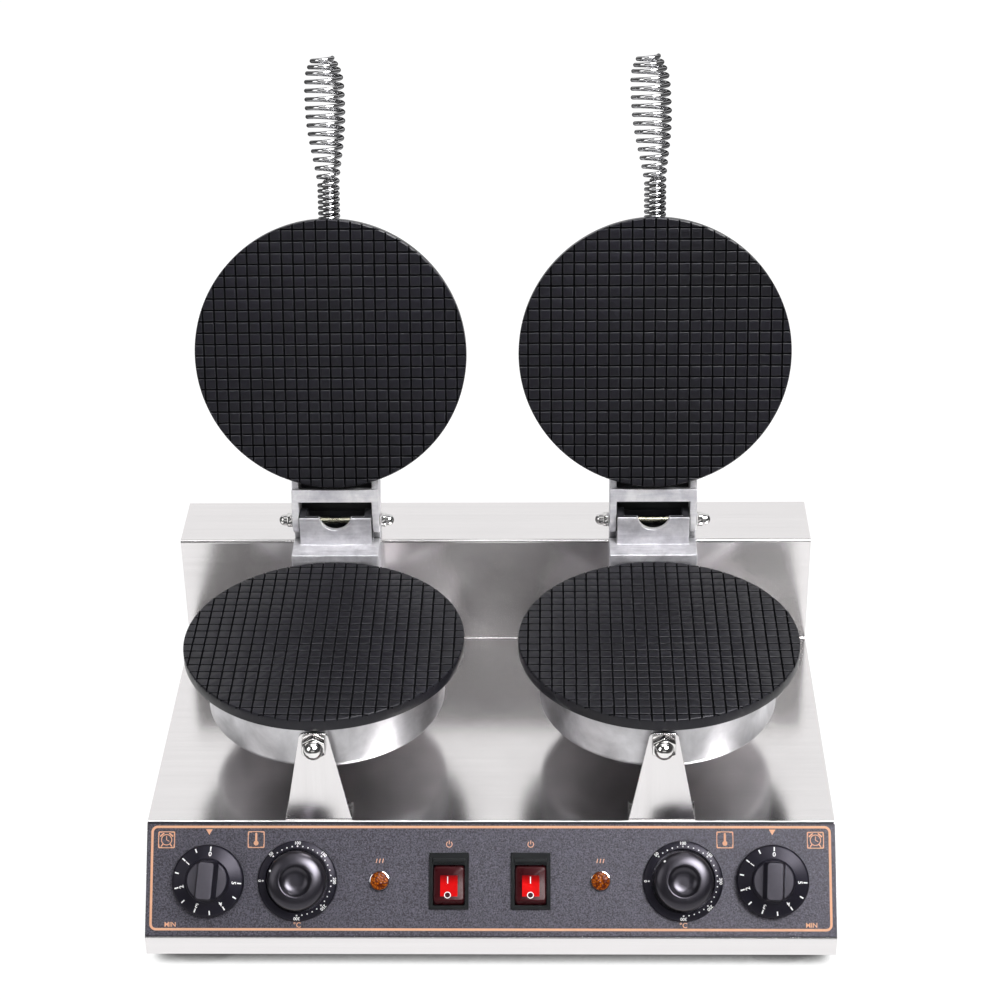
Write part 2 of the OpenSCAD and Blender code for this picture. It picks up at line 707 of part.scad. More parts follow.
// a drum-sided rocker, its two faces leaning towards its middle; the end with the line is pressed in
module rocker() translate([0, -rocker_drop, rocker_z]) {
  rotate([-rocker_turn / 2, 0, 0]) intersection() {
    rotate([0, 90, 0]) cylinder(r = rocker_r, h = rocker_w, center = true);
    along_x(rocker_w) polygon([
      [-rocker_r - 1, -8], [rocker_r + 1, -8], [rocker_r + 1, 5.6 + (rocker_r + 1) * tan(rocker_turn / 2)],
      [0, 5.6], [-rocker_r - 1, 5.6 + (rocker_r + 1) * tan(rocker_turn / 2)]
    ]);
  }
}

module left_rocker() color("red") at_panel(-switch_x) rocker();

module right_rocker() color("red") at_panel(switch_x) rocker();

// plates and drums, the face up at Z = 0

module grid_comb() {
  n = floor((plate_r - groove_w) / grid_pitch);
  along_x(2 * plate_r + 4) polygon(concat(
    [[-plate_r - 2, -plate_t - 1], [plate_r + 2, -plate_t - 1], [plate_r + 2, 0]],
    [for (i = [n : -1 : -n], k = [1 : -1 : -1])
      [i * grid_pitch + k * groove_w / 2, k == 0 ? -groove_d : 0]],
    [[-plate_r - 2, 0]]
  ));
}

module waffle_plate() {
  intersection() {
    rotate_extrude() polygon([
      [0, -plate_t], [plate_r - 1.4, -plate_t], [plate_r, -plate_t + 1.4],
      [plate_r, -0.7], [plate_r - 0.7, 0], [0, 0]
    ]);
    grid_comb();
    rotate([0, 0, 90]) grid_comb();
  }
  difference() {
    translate([0, 0, -plate_t - post_h]) cylinder(d = post_d, h = post_h + 1);
    translate([0, 0, -plate_t - post_h - 1]) cylinder(r = m6_r + seat_fit, h = plate_screw_in + 3);
  }
}

module pot(r, h, e) {
  square([r, h - e]);
  square([r - e, h]);
  translate([r - e, h - e]) circle(e);
}

module drum() translate([0, 0, -plate_t]) rotate([180, 0, 0]) difference() {
  rotate_extrude() difference() {
    pot(drum_r, drum_h, drum_round);
    translate([0, -1]) pot(drum_r - drum_wall, post_h + 1, drum_round - drum_wall + 0.5);
  }
  cylinder(r = m6_r + seat_fit, h = through);
  // bolt of the hinge casting
  translate([0, -drum_r, post_h / 2]) rotate([90, 0, 0])
    cylinder(r = m6_r + seat_fit, h = 20, center = true);
}

module heating_ring() translate([0, 0, -plate_t - ring_t]) {
  rotate_extrude() translate([(ring_d - ring_w) / 2, 0]) square([ring_w, ring_t]);
  for (a = [70, 110]) rotate([0, 0, a]) translate([ring_d / 2, 0, -ring_end_l])
    cylinder(d = ring_end_d, h = ring_end_l + 1);
}

module plate_screw() translate([0, 0, -plate_t - drum_h]) rotate([180, 0, 0])
  pan_screw(m6_r, drum_wall + plate_screw_in);

// the bolt from inside a drum into the casting behind it
module drum_bolt() translate([0, drum_r - drum_wall - seat_fit, -plate_t - post_h / 2]) rotate([90, 0, 0])
  hex_bolt(m6_r, m6_nut_r, 4, drum_wall + 10);

// the boss that carries the front stud, from the drum's wall to the bracket's back
boss_l = plate_y - bracket_in - bracket_t;
boss_z = stud_up - plate_top;

module lower_drum() difference() {
  union() {
    drum();
    difference() {
      translate([0, -drum_r + 8, boss_z]) rotate([90, 0, 0]) cylinder(r = 8.4, h = boss_l - drum_r + 8);
      translate([0, 0, -plate_t - drum_h]) cylinder(r = drum_r - drum_wall / 2, h = drum_h);
    }
  }
  translate([0, -drum_r + 9, boss_z]) rotate([90, 0, 0]) cylinder(r = m10_r + seat_fit, h = 60);
  translate([0, sleeve_in, -plate_t - drum_h]) cylinder(d = sleeve_d + 2 * seat_fit, h = 20, center = true);
}

module left_lower_plate() color("dimgray") at_plate(-1) waffle_plate();

module right_lower_plate() color("dimgray") at_plate(1) waffle_plate();

module left_lower_drum() color("lightgray") at_plate(-1) lower_drum();

module right_lower_drum() color("lightgray") at_plate(1) lower_drum();

module left_lower_ring() color("saddlebrown") at_plate(-1) heating_ring();

module right_lower_ring() color("saddlebrown") at_plate(1) heating_ring();

module lower_plate_screws() color("gainsboro") for (s = [-1, 1]) at_plate(s) plate_screw();

module lead_sleeves() color("dimgray") at_deck() sleeve_places() difference() {
  union() {
    translate([0, 0, -sleeve_down])
      cylinder(d = sleeve_d, h = sleeve_down + plate_top - plate_t - drum_h + drum_wall + sleeve_up);
    cylinder(d = sleeve_d + 6, h = 4);
    translate([0, 0, -sheet_t - 4]) cylinder(d = sleeve_d + 8, h = 4, $fn = 6);
  }
  cylinder(d = sleeve_d - 4, h = 2 * through, center = true);
}

// front brackets

module bracket_outline() {
  t = bracket_top_w / 2 - bracket_round;
  polygon([
    [-bracket_foot_w / 2, 0], [bracket_foot_w / 2, 0], [bracket_top_w / 2, bracket_h - bracket_round],
    [t, bracket_h - bracket_round], [t, bracket_h], [-t, bracket_h], [-t, bracket_h - bracket_round],
    [-bracket_top_w / 2, bracket_h - bracket_round]
  ]);
  for (s = [-1, 1]) translate([s * t, bracket_h - bracket_round]) circle(bracket_round);
}

module front_bracket(side) at_deck() difference() {
  translate([side * plate_x, bracket_in, 0]) {
    difference() {
      union() {
        translate([0, bracket_t, 0]) rotate([90, 0, 0])
          linear_extrude(height = bracket_t) bracket_outline();
        translate([-bracket_foot_w / 2, 0, 0]) cube([bracket_foot_w, bracket_foot_d, bracket_t]);
      }
      translate([0, 0, stud_up]) rotate([90, 0, 0]) cylinder(r = m10_r + seat_fit, h = 20, center = true);
    }
  }
  foot_holes(m6_r + seat_fit);
}

module left_front_bracket() color("silver") front_bracket(-1);

module right_front_bracket() color("silver") front_bracket(1);

module bracket_screws() color("gainsboro") at_deck() at_foot_screws() {
  translate([0, 0, -sheet_t]) rotate([180, 0, 0])
    hex_bolt(m6_r, m6_nut_r, 4, sheet_t + bracket_t + m6_nut_h + 0.6);
  translate([0, 0, bracket_t]) hex_nut(m6_r + seat_fit, m6_nut_r, m6_nut_h);
}

// outwards along each front stud, from the bracket's face
module at_studs() for (s = [-1, 1]) translate([s * plate_x, bracket_in, stud_up])
  rotate([90, 0, 0]) children();

module drum_studs() color("gainsboro") at_deck() at_studs()
  translate([0, 0, -boss_l - bracket_t + drum_r - 6])
    cylinder(r = m10_r, h = boss_l + bracket_t - drum_r + 6 + m10_nut_h);

module drum_acorn_nuts() color("gainsboro") at_deck() at_studs() rotate([0, 0, 30])
  acorn(m10_r + seat_fit, m10_nut_r, m10_nut_h, m10_dome_r, m10_collar);

// hinges

// seen from the side, with the pin at the origin
module knuckle_side() {
  translate([-knuckle_front, riser_h - pin_z]) square([knuckle_front, pin_z - riser_h + knuckle_up]);
  translate([-0.1, riser_h - pin_z]) square([knuckle_rear - 3 + 0.1, pin_z - riser_h]);
  translate([-0.1, riser_h - pin_z]) square([knuckle_rear + 0.1, pin_z - riser_h - 3]);
  translate([knuckle_rear - 3, -3]) circle(3);
  circle(knuckle_up);
}

module lower_hinge(side) at_deck() translate([side * plate_x, 0, 0]) difference() {
  front_y = plate_y + plate_r + rim_gap;
  top_z = plate_top + shoulder_up;
  union() {
    // the box before the riser, with its shoulder behind the plate
    translate([-hinge_w / 2, front_y, hinge_low]) cube([hinge_w, deck_d - front_y, top_z - hinge_low]);
    // the neck under the plate's rim
    translate([-neck_w / 2, plate_y + drum_r - 12, hinge_low])
      cube([neck_w, front_y - plate_y - drum_r + 13, plate_top - plate_t - rim_gap - hinge_low]);
    translate([0, pin_y, pin_z]) along_x(knuckle_w) knuckle_side();
    // the two steps on which the lid's heels stop
    pair(hinge_w / 2 - ear_t / 2 - ear_gap) translate([-ear_t / 2 - ear_gap, pin_y, riser_h])
      cube([ear_t + 2 * ear_gap, knuckle_rear, pin_z - ear_r - stop_gap - riser_h]);
  }
  // hollow box, open below
  difference() {
    translate([-hinge_w / 2 + cast_wall, front_y + cast_wall, hinge_low - 1])
      cube([hinge_w - 2 * cast_wall, deck_d - front_y - 2 * cast_wall, top_z - hinge_low - cast_wall + 1]);
    translate([0, deck_d, riser_h - bolt_drop]) rotate([90, 0, 0]) pair(hinge_w / 2 - bolt_in)
      cylinder(r = 7, h = 18);
  }
  // open knuckle
  translate([-knuckle_w / 2 + cast_wall + 1.5, pin_y - knuckle_front + cast_wall, top_z + cast_wall - 1])
    cube([knuckle_w - 2 * cast_wall - 3, knuckle_front + knuckle_rear - 2 * cast_wall, 60]);
  translate([0, pin_y - knuckle_front + cast_wall + 1, pin_z + knuckle_up + 1.2]) rotate([90, 0, 0])
    cylinder(r = notch_r, h = cast_wall + 4);
  translate([0, pin_y, pin_z]) rotate([0, 90, 0])
    cylinder(r = pin_r + seat_fit / 2, h = 2 * hinge_w, center = true);
  // room for the ends of the ears
  translate([0, pin_y, pin_z]) pair(knuckle_w / 2 + hinge_w) rotate([0, 90, 0])
    cylinder(r = ear_r + stop_gap, h = 2 * hinge_w, center = true);
  // seat against the drum, and the bolt holes
  translate([0, plate_y, 0]) cylinder(r = drum_r + seat_fit / 2, h = plate_top);
  translate([0, plate_y + drum_r, plate_top - plate_t - post_h / 2]) rotate([90, 0, 0])
    cylinder(r = m6_r + seat_fit, h = 26, center = true);
  translate([0, deck_d + 1, riser_h - bolt_drop]) rotate([90, 0, 0]) pair(hinge_w / 2 - bolt_in)
    cylinder(r = m6_r + seat_fit, h = bolt_l + 2);
}

module left_lower_hinge() color("lightgray") lower_hinge(-1);

module right_lower_hinge() color("lightgray") lower_hinge(1);

module hinge_bolts() color("gainsboro") {
  at_deck() for (s = [-1, 1]) translate([s * plate_x, deck_d + sheet_t, riser_h - bolt_drop])
    rotate([-90, 0, 0]) pair(hinge_w / 2 - bolt_in) hex_bolt(m6_r, m6_nut_r, 4, bolt_l);
  for (s = [-1, 1]) at_plate(s) drum_bolt();
}

module hinge_pin(side) at_deck() translate([side * plate_x, pin_y, pin_z]) rotate([0, 90, 0])
  cylinder(r = pin_r, h = hinge_w + 2 * (ear_gap + m5_nut_h), center = true);

module left_hinge_pin() color("goldenrod") hinge_pin(-1);

module right_hinge_pin() color("goldenrod") hinge_pin(1);

module acorn_nuts() color("gainsboro") at_deck() {
  for (s = [-1, 1], e = [-1, 1]) translate([s * plate_x + e * (hinge_w / 2 + ear_gap), pin_y, pin_z])
    rotate([0, e * 90, 0]) acorn(pin_r + seat_fit / 2, m5_nut_r, m5_nut_h, m5_dome_r, m5_collar);
}

// lids, drawn closed: the face down at Z = 0, the hinge towards +Y

module ear_side() {
  low = plate_t + rim_gap;
  polygon([
    [drum_r - 12, low], [bar_out, low], [bar_out, bar_in], [bar_out + bar_d, bar_in],
    [pin_back + 1, pin_rise - ear_r + 0.6], [pin_back, pin_rise + ear_r - 1],
    [cover_end, cover_z + cast_wall], [drum_r - 12, cover_z + cast_wall]
  ]);
  translate([pin_back, pin_rise]) {
    circle(ear_r);
    // the heel that meets the step of the lower casting
    rotate(lid_swing) translate([0, -ear_r + 0.02]) square([ear_r, ear_r - 0.02]);
  }
}

module upper_hinge() difference() {
  low = plate_t + rim_gap;
  union() {
    pair((hinge_w - ear_t) / 2) along_x(ear_t) ear_side();
    translate([-hinge_w / 2, bar_out, bar_in]) cube([hinge_w, bar_d, bar_h]);
    translate([-hinge_w / 2, drum_r - 12, cover_z]) cube([hinge_w, cover_end - drum_r + 12, cast_wall]);
    translate([-hinge_w / 2, drum_r - 12, low]) cube([hinge_w, 12 + cast_wall + 2, cover_z - low + 1]);
  }
  translate([0, 0, plate_t]) cylinder(r = drum_r + seat_fit / 2, h = 60);
  translate([0, pin_back, pin_rise]) rotate([0, 90, 0])
    cylinder(r = pin_r + run_fit, h = 2 * hinge_w, center = true);
  translate([0, drum_r, plate_t + post_h / 2]) rotate([90, 0, 0])
    cylinder(r = m6_r + seat_fit, h = 26, center = true);
  upper_lead_hole();
}

module upper_drum() difference() {
  union() {
    mirror([0, 0, 1]) drum();
    // the boss that takes the handle
    difference() {
      translate([0, -drum_r + 6, handle_in]) rotate([90, 0, 0]) cylinder(r = 9, h = 8);
      translate([0, 0, plate_t]) cylinder(r = drum_r - drum_wall / 2, h = drum_h);
    }
  }
  translate([0, -drum_r + 9, handle_in]) rotate([90, 0, 0]) cylinder(d = stud_d + 2 * seat_fit, h = 60);
  upper_lead_hole();
}

// the leads of an upper ring leave through the casting, beside its bolt
module upper_lead_hole() translate([hinge_w / 4, drum_r, plate_t + post_h / 2]) rotate([90, 0, 0])
  cylinder(d = 8, h = 40, center = true);

module left_upper_plate() color("dimgray") at_lid(-1) mirror([0, 0, 1]) waffle_plate();

module right_upper_plate() color("dimgray") at_lid(1) mirror([0, 0, 1]) waffle_plate();

module left_upper_drum() color("lightgray") at_lid(-1) upper_drum();

module right_upper_drum() color("lightgray") at_lid(1) upper_drum();

module left_upper_ring() color("saddlebrown") at_lid(-1) mirror([0, 0, 1]) heating_ring();

module right_upper_ring() color("saddlebrown") at_lid(1) mirror([0, 0, 1]) heating_ring();

module left_upper_hinge() color("lightgray") at_lid(-1) upper_hinge();

module right_upper_hinge() color("lightgray") at_lid(1) upper_hinge();

module upper_screws() mirror([0, 0, 1]) {
  plate_screw();
  drum_bolt();
}

module left_upper_screws() color("gainsboro") at_lid(-1) upper_screws();

module right_upper_screws() color("gainsboro") at_lid(1) upper_screws();

// handles, drawn along +Z from the drum's boss

module at_handle(side) at_lid(side) translate([0, -drum_r - 2, handle_in]) rotate([90, 0, 0]) children();

module handle_stud() {
  translate([0, 0, -9]) cylinder(d = stud_d, h = 9 + collar_l + stud_l - 1.5);
  translate([0, 0, collar_l + stud_l - 1.5]) cylinder(d1 = stud_d, d2 = stud_d - 3, h = 1.5);
  cylinder(r = coil_root_d / 2, h = collar_l, $fn = 6);
}

module left_handle_stud() color("gainsboro") at_handle(-1) handle_stud();

module right_handle_stud() color("gainsboro") at_handle(1) handle_stud();

// the coil's middle line: height and radius after so many turns
coil_turns = root_turns + open_turns + tip_turns;
coil_rings = ceil(8 * coil_turns);
root_r = (coil_root_d - wire_d) / 2;
max_r = (coil_max_d - wire_d) / 2;
tip_r = (coil_tip_d - wire_d) / 2;
swell = 0.7 * open_turns;
hold = 0.85 * open_turns;
function coil_h(t) = collar_l + wire_d + root_pitch * min(t, root_turns)
  + open_pitch * max(0, min(t - root_turns, open_turns)) + tip_pitch * max(0, t - root_turns - open_turns);
function coil_r(t) = let (u = t - root_turns) u < 0 ? root_r
  : u < swell ? root_r + (max_r - root_r) * pow(sin(90 * u / swell), 1.4)
  : u < hold ? max_r
  : tip_r + (max_r - tip_r) * pow(cos(90 * (u - hold) / (open_turns + tip_turns - hold)), 0.9);
function coil_at(t) = [coil_r(t) * cos(360 * t), coil_r(t) * sin(360 * t), coil_h(t)];
tip_turn = coil_rings / 8;
tip_run = unit(coil_at(tip_turn) - coil_at(tip_turn - 0.01)) * wire_d;
coil_line = concat(
  [[root_r, 0, collar_l + seat_fit]],
  [for (k = [0 : coil_rings]) coil_at(k / 8)],
  [coil_at(tip_turn) + tip_run]
);
function ahead(p, i) = unit(p[min(i + 1, len(p) - 1)] - p[max(i - 1, 0)]);
// each ring of six points stands square to the line, one point turned to the coil's axis
function ring(p, i, r) = let (
  d = ahead(p, i),
  o = unit([p[i][0], p[i][1], 0]),
  u = unit(o - d * (o * d)),
  v = cross(d, u)
) [for (k = [0 : 5]) p[i] + r * (cos(60 * k) * u + sin(60 * k) * v)];
// least gap between turns, measured between points of the line that are at least half a turn apart
coil_gap = min([for (i = [0 : len(coil_line) - 1], j = [0 : len(coil_line) - 1]) if (j > i + 4)
  norm(coil_line[i] - coil_line[j])]) - wire_d;

// how far a point at that height is shifted where the open turns lean
function leant(h, lean) = [-tan(lean) * max(0, h - coil_h(root_turns)), 0, 0];

module handle_coil(lean) {
  n = len(coil_line);
  echo(least_gap_between_turns = coil_gap);
  polyhedron(
    points = [for (i = [0 : n - 1], q = ring(coil_line, i, wire_d / 2)) q + leant(q[2], lean)],
    faces = concat(
      [for (k = [1 : 4]) [0, k + 1, k]],
      [for (k = [1 : 4]) [6 * n - 6, 6 * n - 6 + k, 6 * n - 5 + k]],
      [for (i = [0 : n - 2], k = [0 : 5]) [6 * i + k, 6 * i + (k + 1) % 6, 6 * i + 6 + k]],
      [for (i = [0 : n - 2], k = [0 : 5]) [6 * i + (k + 1) % 6, 6 * i + 6 + (k + 1) % 6, 6 * i + 6 + k]]
    )
  );
}

module left_handle_coil() color("gainsboro") at_handle(-1) handle_coil(left_coil_lean);

module right_handle_coil() color("gainsboro") at_handle(1) handle_coil(right_coil_lean);

body_shell();
left_side_panel();
right_side_panel();
rear_panel();
bottom_plate();
control_fascia();
rubber_feet();
foot_screws();
case_screws();
cable_gland();
terminal_block();
left_front_bracket();
right_front_bracket();
bracket_screws();
drum_studs();
drum_acorn_nuts();
left_lower_plate();
right_lower_plate();
left_lower_drum();
right_lower_drum();
left_lower_ring();
right_lower_ring();
lower_plate_screws();
lead_sleeves();
left_lower_hinge();
right_lower_hinge();
hinge_bolts();
left_hinge_pin();
right_hinge_pin();
acorn_nuts();
left_temperature_dial();
right_temperature_dial();
left_thermostat();
right_thermostat();
left_timer();
right_timer();
lamp_bezels();
lamp_lenses();
left_switch_frame();
right_switch_frame();
left_rocker();
right_rocker();
left_timer_knob();
right_timer_knob();
left_temperature_knob();
right_temperature_knob();
left_upper_plate();
left_upper_drum();
left_upper_ring();
left_upper_hinge();
left_upper_screws();
left_handle_stud();
left_handle_coil();
right_upper_plate();
right_upper_drum();
right_upper_ring();
right_upper_hinge();
right_upper_screws();
right_handle_stud();
right_handle_coil();
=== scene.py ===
"""Looks of the double waffle cone maker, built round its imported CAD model."""

import json
import math

import bmesh
import bpy
from mathutils import Euler, Matrix, Vector


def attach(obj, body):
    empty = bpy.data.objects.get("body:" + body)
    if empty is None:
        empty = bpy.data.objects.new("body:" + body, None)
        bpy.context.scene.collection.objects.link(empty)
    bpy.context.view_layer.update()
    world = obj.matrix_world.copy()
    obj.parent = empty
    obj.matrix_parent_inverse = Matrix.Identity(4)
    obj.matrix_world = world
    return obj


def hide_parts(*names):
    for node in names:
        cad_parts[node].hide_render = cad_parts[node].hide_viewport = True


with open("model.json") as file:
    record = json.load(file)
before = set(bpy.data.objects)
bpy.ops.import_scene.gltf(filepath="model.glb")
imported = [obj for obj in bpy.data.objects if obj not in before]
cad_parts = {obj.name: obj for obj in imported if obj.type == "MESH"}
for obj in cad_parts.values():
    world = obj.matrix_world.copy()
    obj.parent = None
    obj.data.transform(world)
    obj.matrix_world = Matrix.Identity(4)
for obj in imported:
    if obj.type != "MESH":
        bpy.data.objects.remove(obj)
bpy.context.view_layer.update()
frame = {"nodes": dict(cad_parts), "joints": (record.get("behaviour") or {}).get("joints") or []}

scene = bpy.context.scene
scene.view_settings.view_transform = "Standard"

# Sizes in millimetres, the same as the part's own
MM = 0.001
SIDES = (("left", -1), ("right", 1))
PLATE_R, PLATE_T = 100.6, 9.3
PIN_BACK = 130.3                # from a plate's centre back to its hinge pin
PIN_UP, PIN_RISE = 19.0, 18.0   # from the lower and the closed upper plate's face up to the pin
PIN_FROM_DECK = (231.3, 106.0)  # back and up, from the deck's front edge
GRID_PITCH, GROOVE_W, GROOVE_D = 8.5, 1.3, 1.5
DRUM_R, DRUM_H, DRUM_WALL, DRUM_ROUND = 85.3, 43.7, 2.5, 5.0
POST_R, POST_H = 8.0, 41.2
BOSS_SINK = 1.0                 # how far a boss starts inside the drum's wall
STUD_BOSS_R, STUD_REACH, STUD_DROP = 8.4, 97.5, 21.5
HANDLE_BOSS_R, HANDLE_BOSS_L, HANDLE_IN = 9.0, 3.0, 20.0
FASCIA_T = 0.5
CONTROL_T = 40.8                # down the slope, from the deck's edge to the controls' centre line
TIMER_X, DIAL_X, LAMP_X, SWITCH_X = 196.0, 134.0, 76.8, 28.4
KNOB_Z, SPINDLE_R = 1.3, 3.0
ROCKER_R, ROCKER_W, ROCKER_TURN = 13.9, 21.4, 14.0
ROCKER_LEVEL = 6.4              # the rocker's edge above its pivot
WINDOW_LOW, WINDOW_HIGH = -8.5, 6.1
MARK_X = {"left": -0.9, "right": -0.2}
TIMER_TURN = {"left": 4.8, "right": 2.5}
POINTER_TURN = {"left": 68.8, "right": 44.0}
COIL_LEAN = {"left": 1.0, "right": 3.2}
INK = 0.05

# Places: local millimetres to the row frame's metres
joints = {j["name"]: j for j in frame["joints"]}
PIN = Vector(joints["left_lid_hinge"]["pos_m"]) / MM
PLATE_X = -PIN.x
LID_SWING = math.radians(joints["left_lid_hinge"]["range_deg"][1])
DECK = PIN - Vector((PIN.x, *PIN_FROM_DECK))
PANEL = Vector(joints["left_timer_shaft"]["pos_m"]) / MM
PANEL_IN = Vector(joints["left_timer_shaft"]["axis"])
SLOPE = math.atan2(PANEL_IN.y, -PANEL_IN.z)
TO_METRES = Matrix.Scale(MM, 4)
WINDOW_RISE = WINDOW_HIGH * math.sin(SLOPE) + ROCKER_LEVEL * math.cos(SLOPE)
WINDOW_TOP = joints["left_rocker_pivot"]["pos_m"][2] + WINDOW_RISE * MM


def turn(degrees, axis):
    return Matrix.Rotation(math.radians(degrees), 4, axis)


def shift(x, y, z):
    return Matrix.Translation((x, y, z))


def at_panel(x):
    """+X right, +Y up the slope, +Z out of the panel, from the controls' centre line."""
    return TO_METRES @ shift(x, PANEL.y, PANEL.z) @ Matrix.Rotation(SLOPE, 4, "X")


def at_deck(x, y, z):
    return TO_METRES @ Matrix.Translation(DECK) @ shift(x, y, z)


def at_plate(side):
    return TO_METRES @ shift(side * PLATE_X, PIN.y - PIN_BACK, PIN.z - PIN_UP)


def at_lid(side):
    """The lid closed, its face down at Z = 0, then swung open about the pin."""
    return (TO_METRES @ shift(side * PLATE_X, PIN.y, PIN.z) @ Matrix.Rotation(-LID_SWING, 4, "X")
            @ shift(0, -PIN_BACK, -PIN_RISE))


def at_handle(side):
    return at_lid(side) @ shift(0, -DRUM_R - 2, HANDLE_IN) @ turn(90, "X")


# Node trees

def node(tree, kind, inputs=None, **props):
    made = tree.nodes.new(kind)
    for key, value in props.items():
        setattr(made, key, value)
    for key, value in (inputs or {}).items():
        if isinstance(value, bpy.types.NodeSocket):
            tree.links.new(value, made.inputs[key])
        else:
            made.inputs[key].default_value = value
    return made


def math_node(tree, operation, *values, clamp=False):
    return node(tree, "ShaderNodeMath", dict(enumerate(values)), operation=operation, use_clamp=clamp).outputs[0]


def product(tree, first, *others):
    """Values multiplied together."""
    for other in others:
        first = math_node(tree, "MULTIPLY", first, other)
    return first


def remap(tree, value, low, high, to_low=0.0, to_high=1.0, curve="LINEAR"):
    """A value's range moved to another range and held at its ends."""
    return node(tree, "ShaderNodeMapRange", {"Value": value, "From Min": low, "From Max": high,
                "To Min": to_low, "To Max": to_high}, interpolation_type=curve).outputs[0]


def xyz(tree, **axes):
    return node(tree, "ShaderNodeCombineXYZ", axes).outputs[0]


def noise(tree, vector, scale, **settings):
    return node(tree, "ShaderNodeTexNoise", {"Vector": vector, "Scale": scale, **settings}).outputs["Fac"]


def new_tree(name, kind, inputs, outputs):
    tree = bpy.data.node_groups.new(name, kind)
    for label, socket, value in inputs:
        made = tree.interface.new_socket(label, in_out="INPUT", socket_type="NodeSocket" + socket)
        if value is not None:
            made.default_value = value
    for label, socket in outputs:
        tree.interface.new_socket(label, in_out="OUTPUT", socket_type="NodeSocket" + socket)
    return tree, tree.nodes.new("NodeGroupInput").outputs, tree.nodes.new("NodeGroupOutput").inputs


# Shared shader groups

def new_pattern(name, inputs, *outputs):
    """A shader group that reads a point and puts out masks."""
    return new_tree(name, "ShaderNodeTree", [("Vector", "Vector", None)] + [(label, "Float", value)
                    for label, value in inputs.items()], [(label, "Float") for label in outputs])


def make_brushed_grain():
    """Fine parallel scratches along X, and broader bands of tone beside them."""
    tree, given, out = new_pattern("brushed_grain", {"Along": 14.0, "Across": 2400.0}, "Tone", "Height")
    scale = xyz(tree, X=given["Along"], Y=given["Across"], Z=given["Across"])
    fine_at = node(tree, "ShaderNodeVectorMath", {0: given["Vector"], 1: scale}, operation="MULTIPLY").outputs[0]
    fine = noise(tree, fine_at, 1.0, Detail=2.0)
    band_at = node(tree, "ShaderNodeVectorMath", {0: fine_at, "Scale": 0.11}, operation="SCALE").outputs[0]
    bands = product(tree, noise(tree, band_at, 1.0, Detail=3.0), 0.55)
    tree.links.new(math_node(tree, "MULTIPLY_ADD", fine, 0.45, bands), out["Tone"])
    tree.links.new(fine, out["Height"])
    return tree


def make_smudges():
    """Soft clouds of uneven gloss, as handling and wiping leave."""
    tree, given, out = new_pattern("smudges", {"Size": 0.05}, "Tone")
    scale = math_node(tree, "DIVIDE", 1.0, given["Size"])
    cloud = noise(tree, given["Vector"], scale, Detail=4.0, Roughness=0.6, Distortion=0.4)
    tree.links.new(remap(tree, cloud, 0.3, 0.7), out["Tone"])
    return tree


def make_flecks():
    """A sandy scatter of small bright and dark grains."""
    tree, given, out = new_pattern("flecks", {"Size": 0.0008}, "Bright", "Dark", "Tone", "Grain")
    scale = math_node(tree, "DIVIDE", 1.0, given["Size"])
    cells = node(tree, "ShaderNodeTexVoronoi", {"Vector": given["Vector"], "Scale": scale}).outputs
    pick = node(tree, "ShaderNodeSeparateColor", {"Color": cells["Color"]}).outputs
    near = remap(tree, cells["Distance"], 0.55, 0.2)
    for label, chance in (("Bright", pick[0]), ("Dark", pick[1])):
        tree.links.new(product(tree, remap(tree, chance, 0.55, 0.95), near), out[label])
    tree.links.new(noise(tree, given["Vector"], 60.0, Detail=5.0), out["Tone"])
    sand = noise(tree, given["Vector"], scale, Detail=1.0, Roughness=0.7)
    tree.links.new(remap(tree, sand, 0.36, 0.64), out["Grain"])
    return tree


def make_cast_skin():
    """The uneven, faintly pitted skin of a tumbled casting or a moulding."""
    tree, given, out = new_pattern("cast_skin", {"Size": 0.002}, "Tone", "Height")
    scale = math_node(tree, "DIVIDE", 1.0, given["Size"])
    lumps = noise(tree, given["Vector"], scale, Detail=5.0, Roughness=0.62)
    pits = node(tree, "ShaderNodeTexVoronoi", {"Vector": given["Vector"], "Scale": scale}).outputs["Distance"]
    tree.links.new(math_node(tree, "ADD", lumps, remap(tree, pits, 0.0, 0.35, -0.5, 0.0)), out["Height"])
    cloud = noise(tree, given["Vector"], product(tree, scale, 0.09), Detail=6.0, Roughness=0.65)
    tree.links.new(cloud, out["Tone"])
    return tree


BRUSHED = make_brushed_grain()
SMUDGES = make_smudges()
FLECKS = make_flecks()
CAST = make_cast_skin()


# Materials

class Finish:
    """A procedural material: a Principled shader whose sockets are set or linked by name."""

    def __init__(self, name, **sockets):
        self.material = bpy.data.materials.new(name)
        self.material.use_nodes = True
        self.tree = self.material.node_tree
        self.shader = next(n for n in self.tree.nodes if n.type == "BSDF_PRINCIPLED")
        for label, value in sockets.items():
            self.shader.inputs[label.replace("_", " ")].default_value = value
        self.point = node(self.tree, "ShaderNodeTexCoord").outputs["Object"]

    def mapped(self, turned, scale=(1, 1, 1)):
        return node(self.tree, "ShaderNodeMapping", {"Vector": self.point, "Scale": scale,
                    "Rotation": [math.radians(a) for a in turned]}).outputs[0]

    def use(self, group, vector=None, **values):
        sockets = {"Vector": vector or self.point, **values}
        return node(self.tree, "ShaderNodeGroup", sockets, node_tree=group).outputs

    def between(self, mask, low, high):
        return remap(self.tree, mask, 0.0, 1.0, low, high)

    def blend(self, mask, low, high):
        low, high = (c if isinstance(c, bpy.types.NodeSocket) else (*c, 1) for c in (low, high))
        return node(self.tree, "ShaderNodeMix", {0: mask, 6: low, 7: high}, data_type="RGBA").outputs[2]

    def feed(self, label, socket):
        self.tree.links.new(socket, self.shader.inputs[label])

    def bump(self, height, distance):
        made = node(self.tree, "ShaderNodeBump", {"Height": height, "Distance": distance, "Strength": 1.0})
        self.feed("Normal", made.outputs[0])


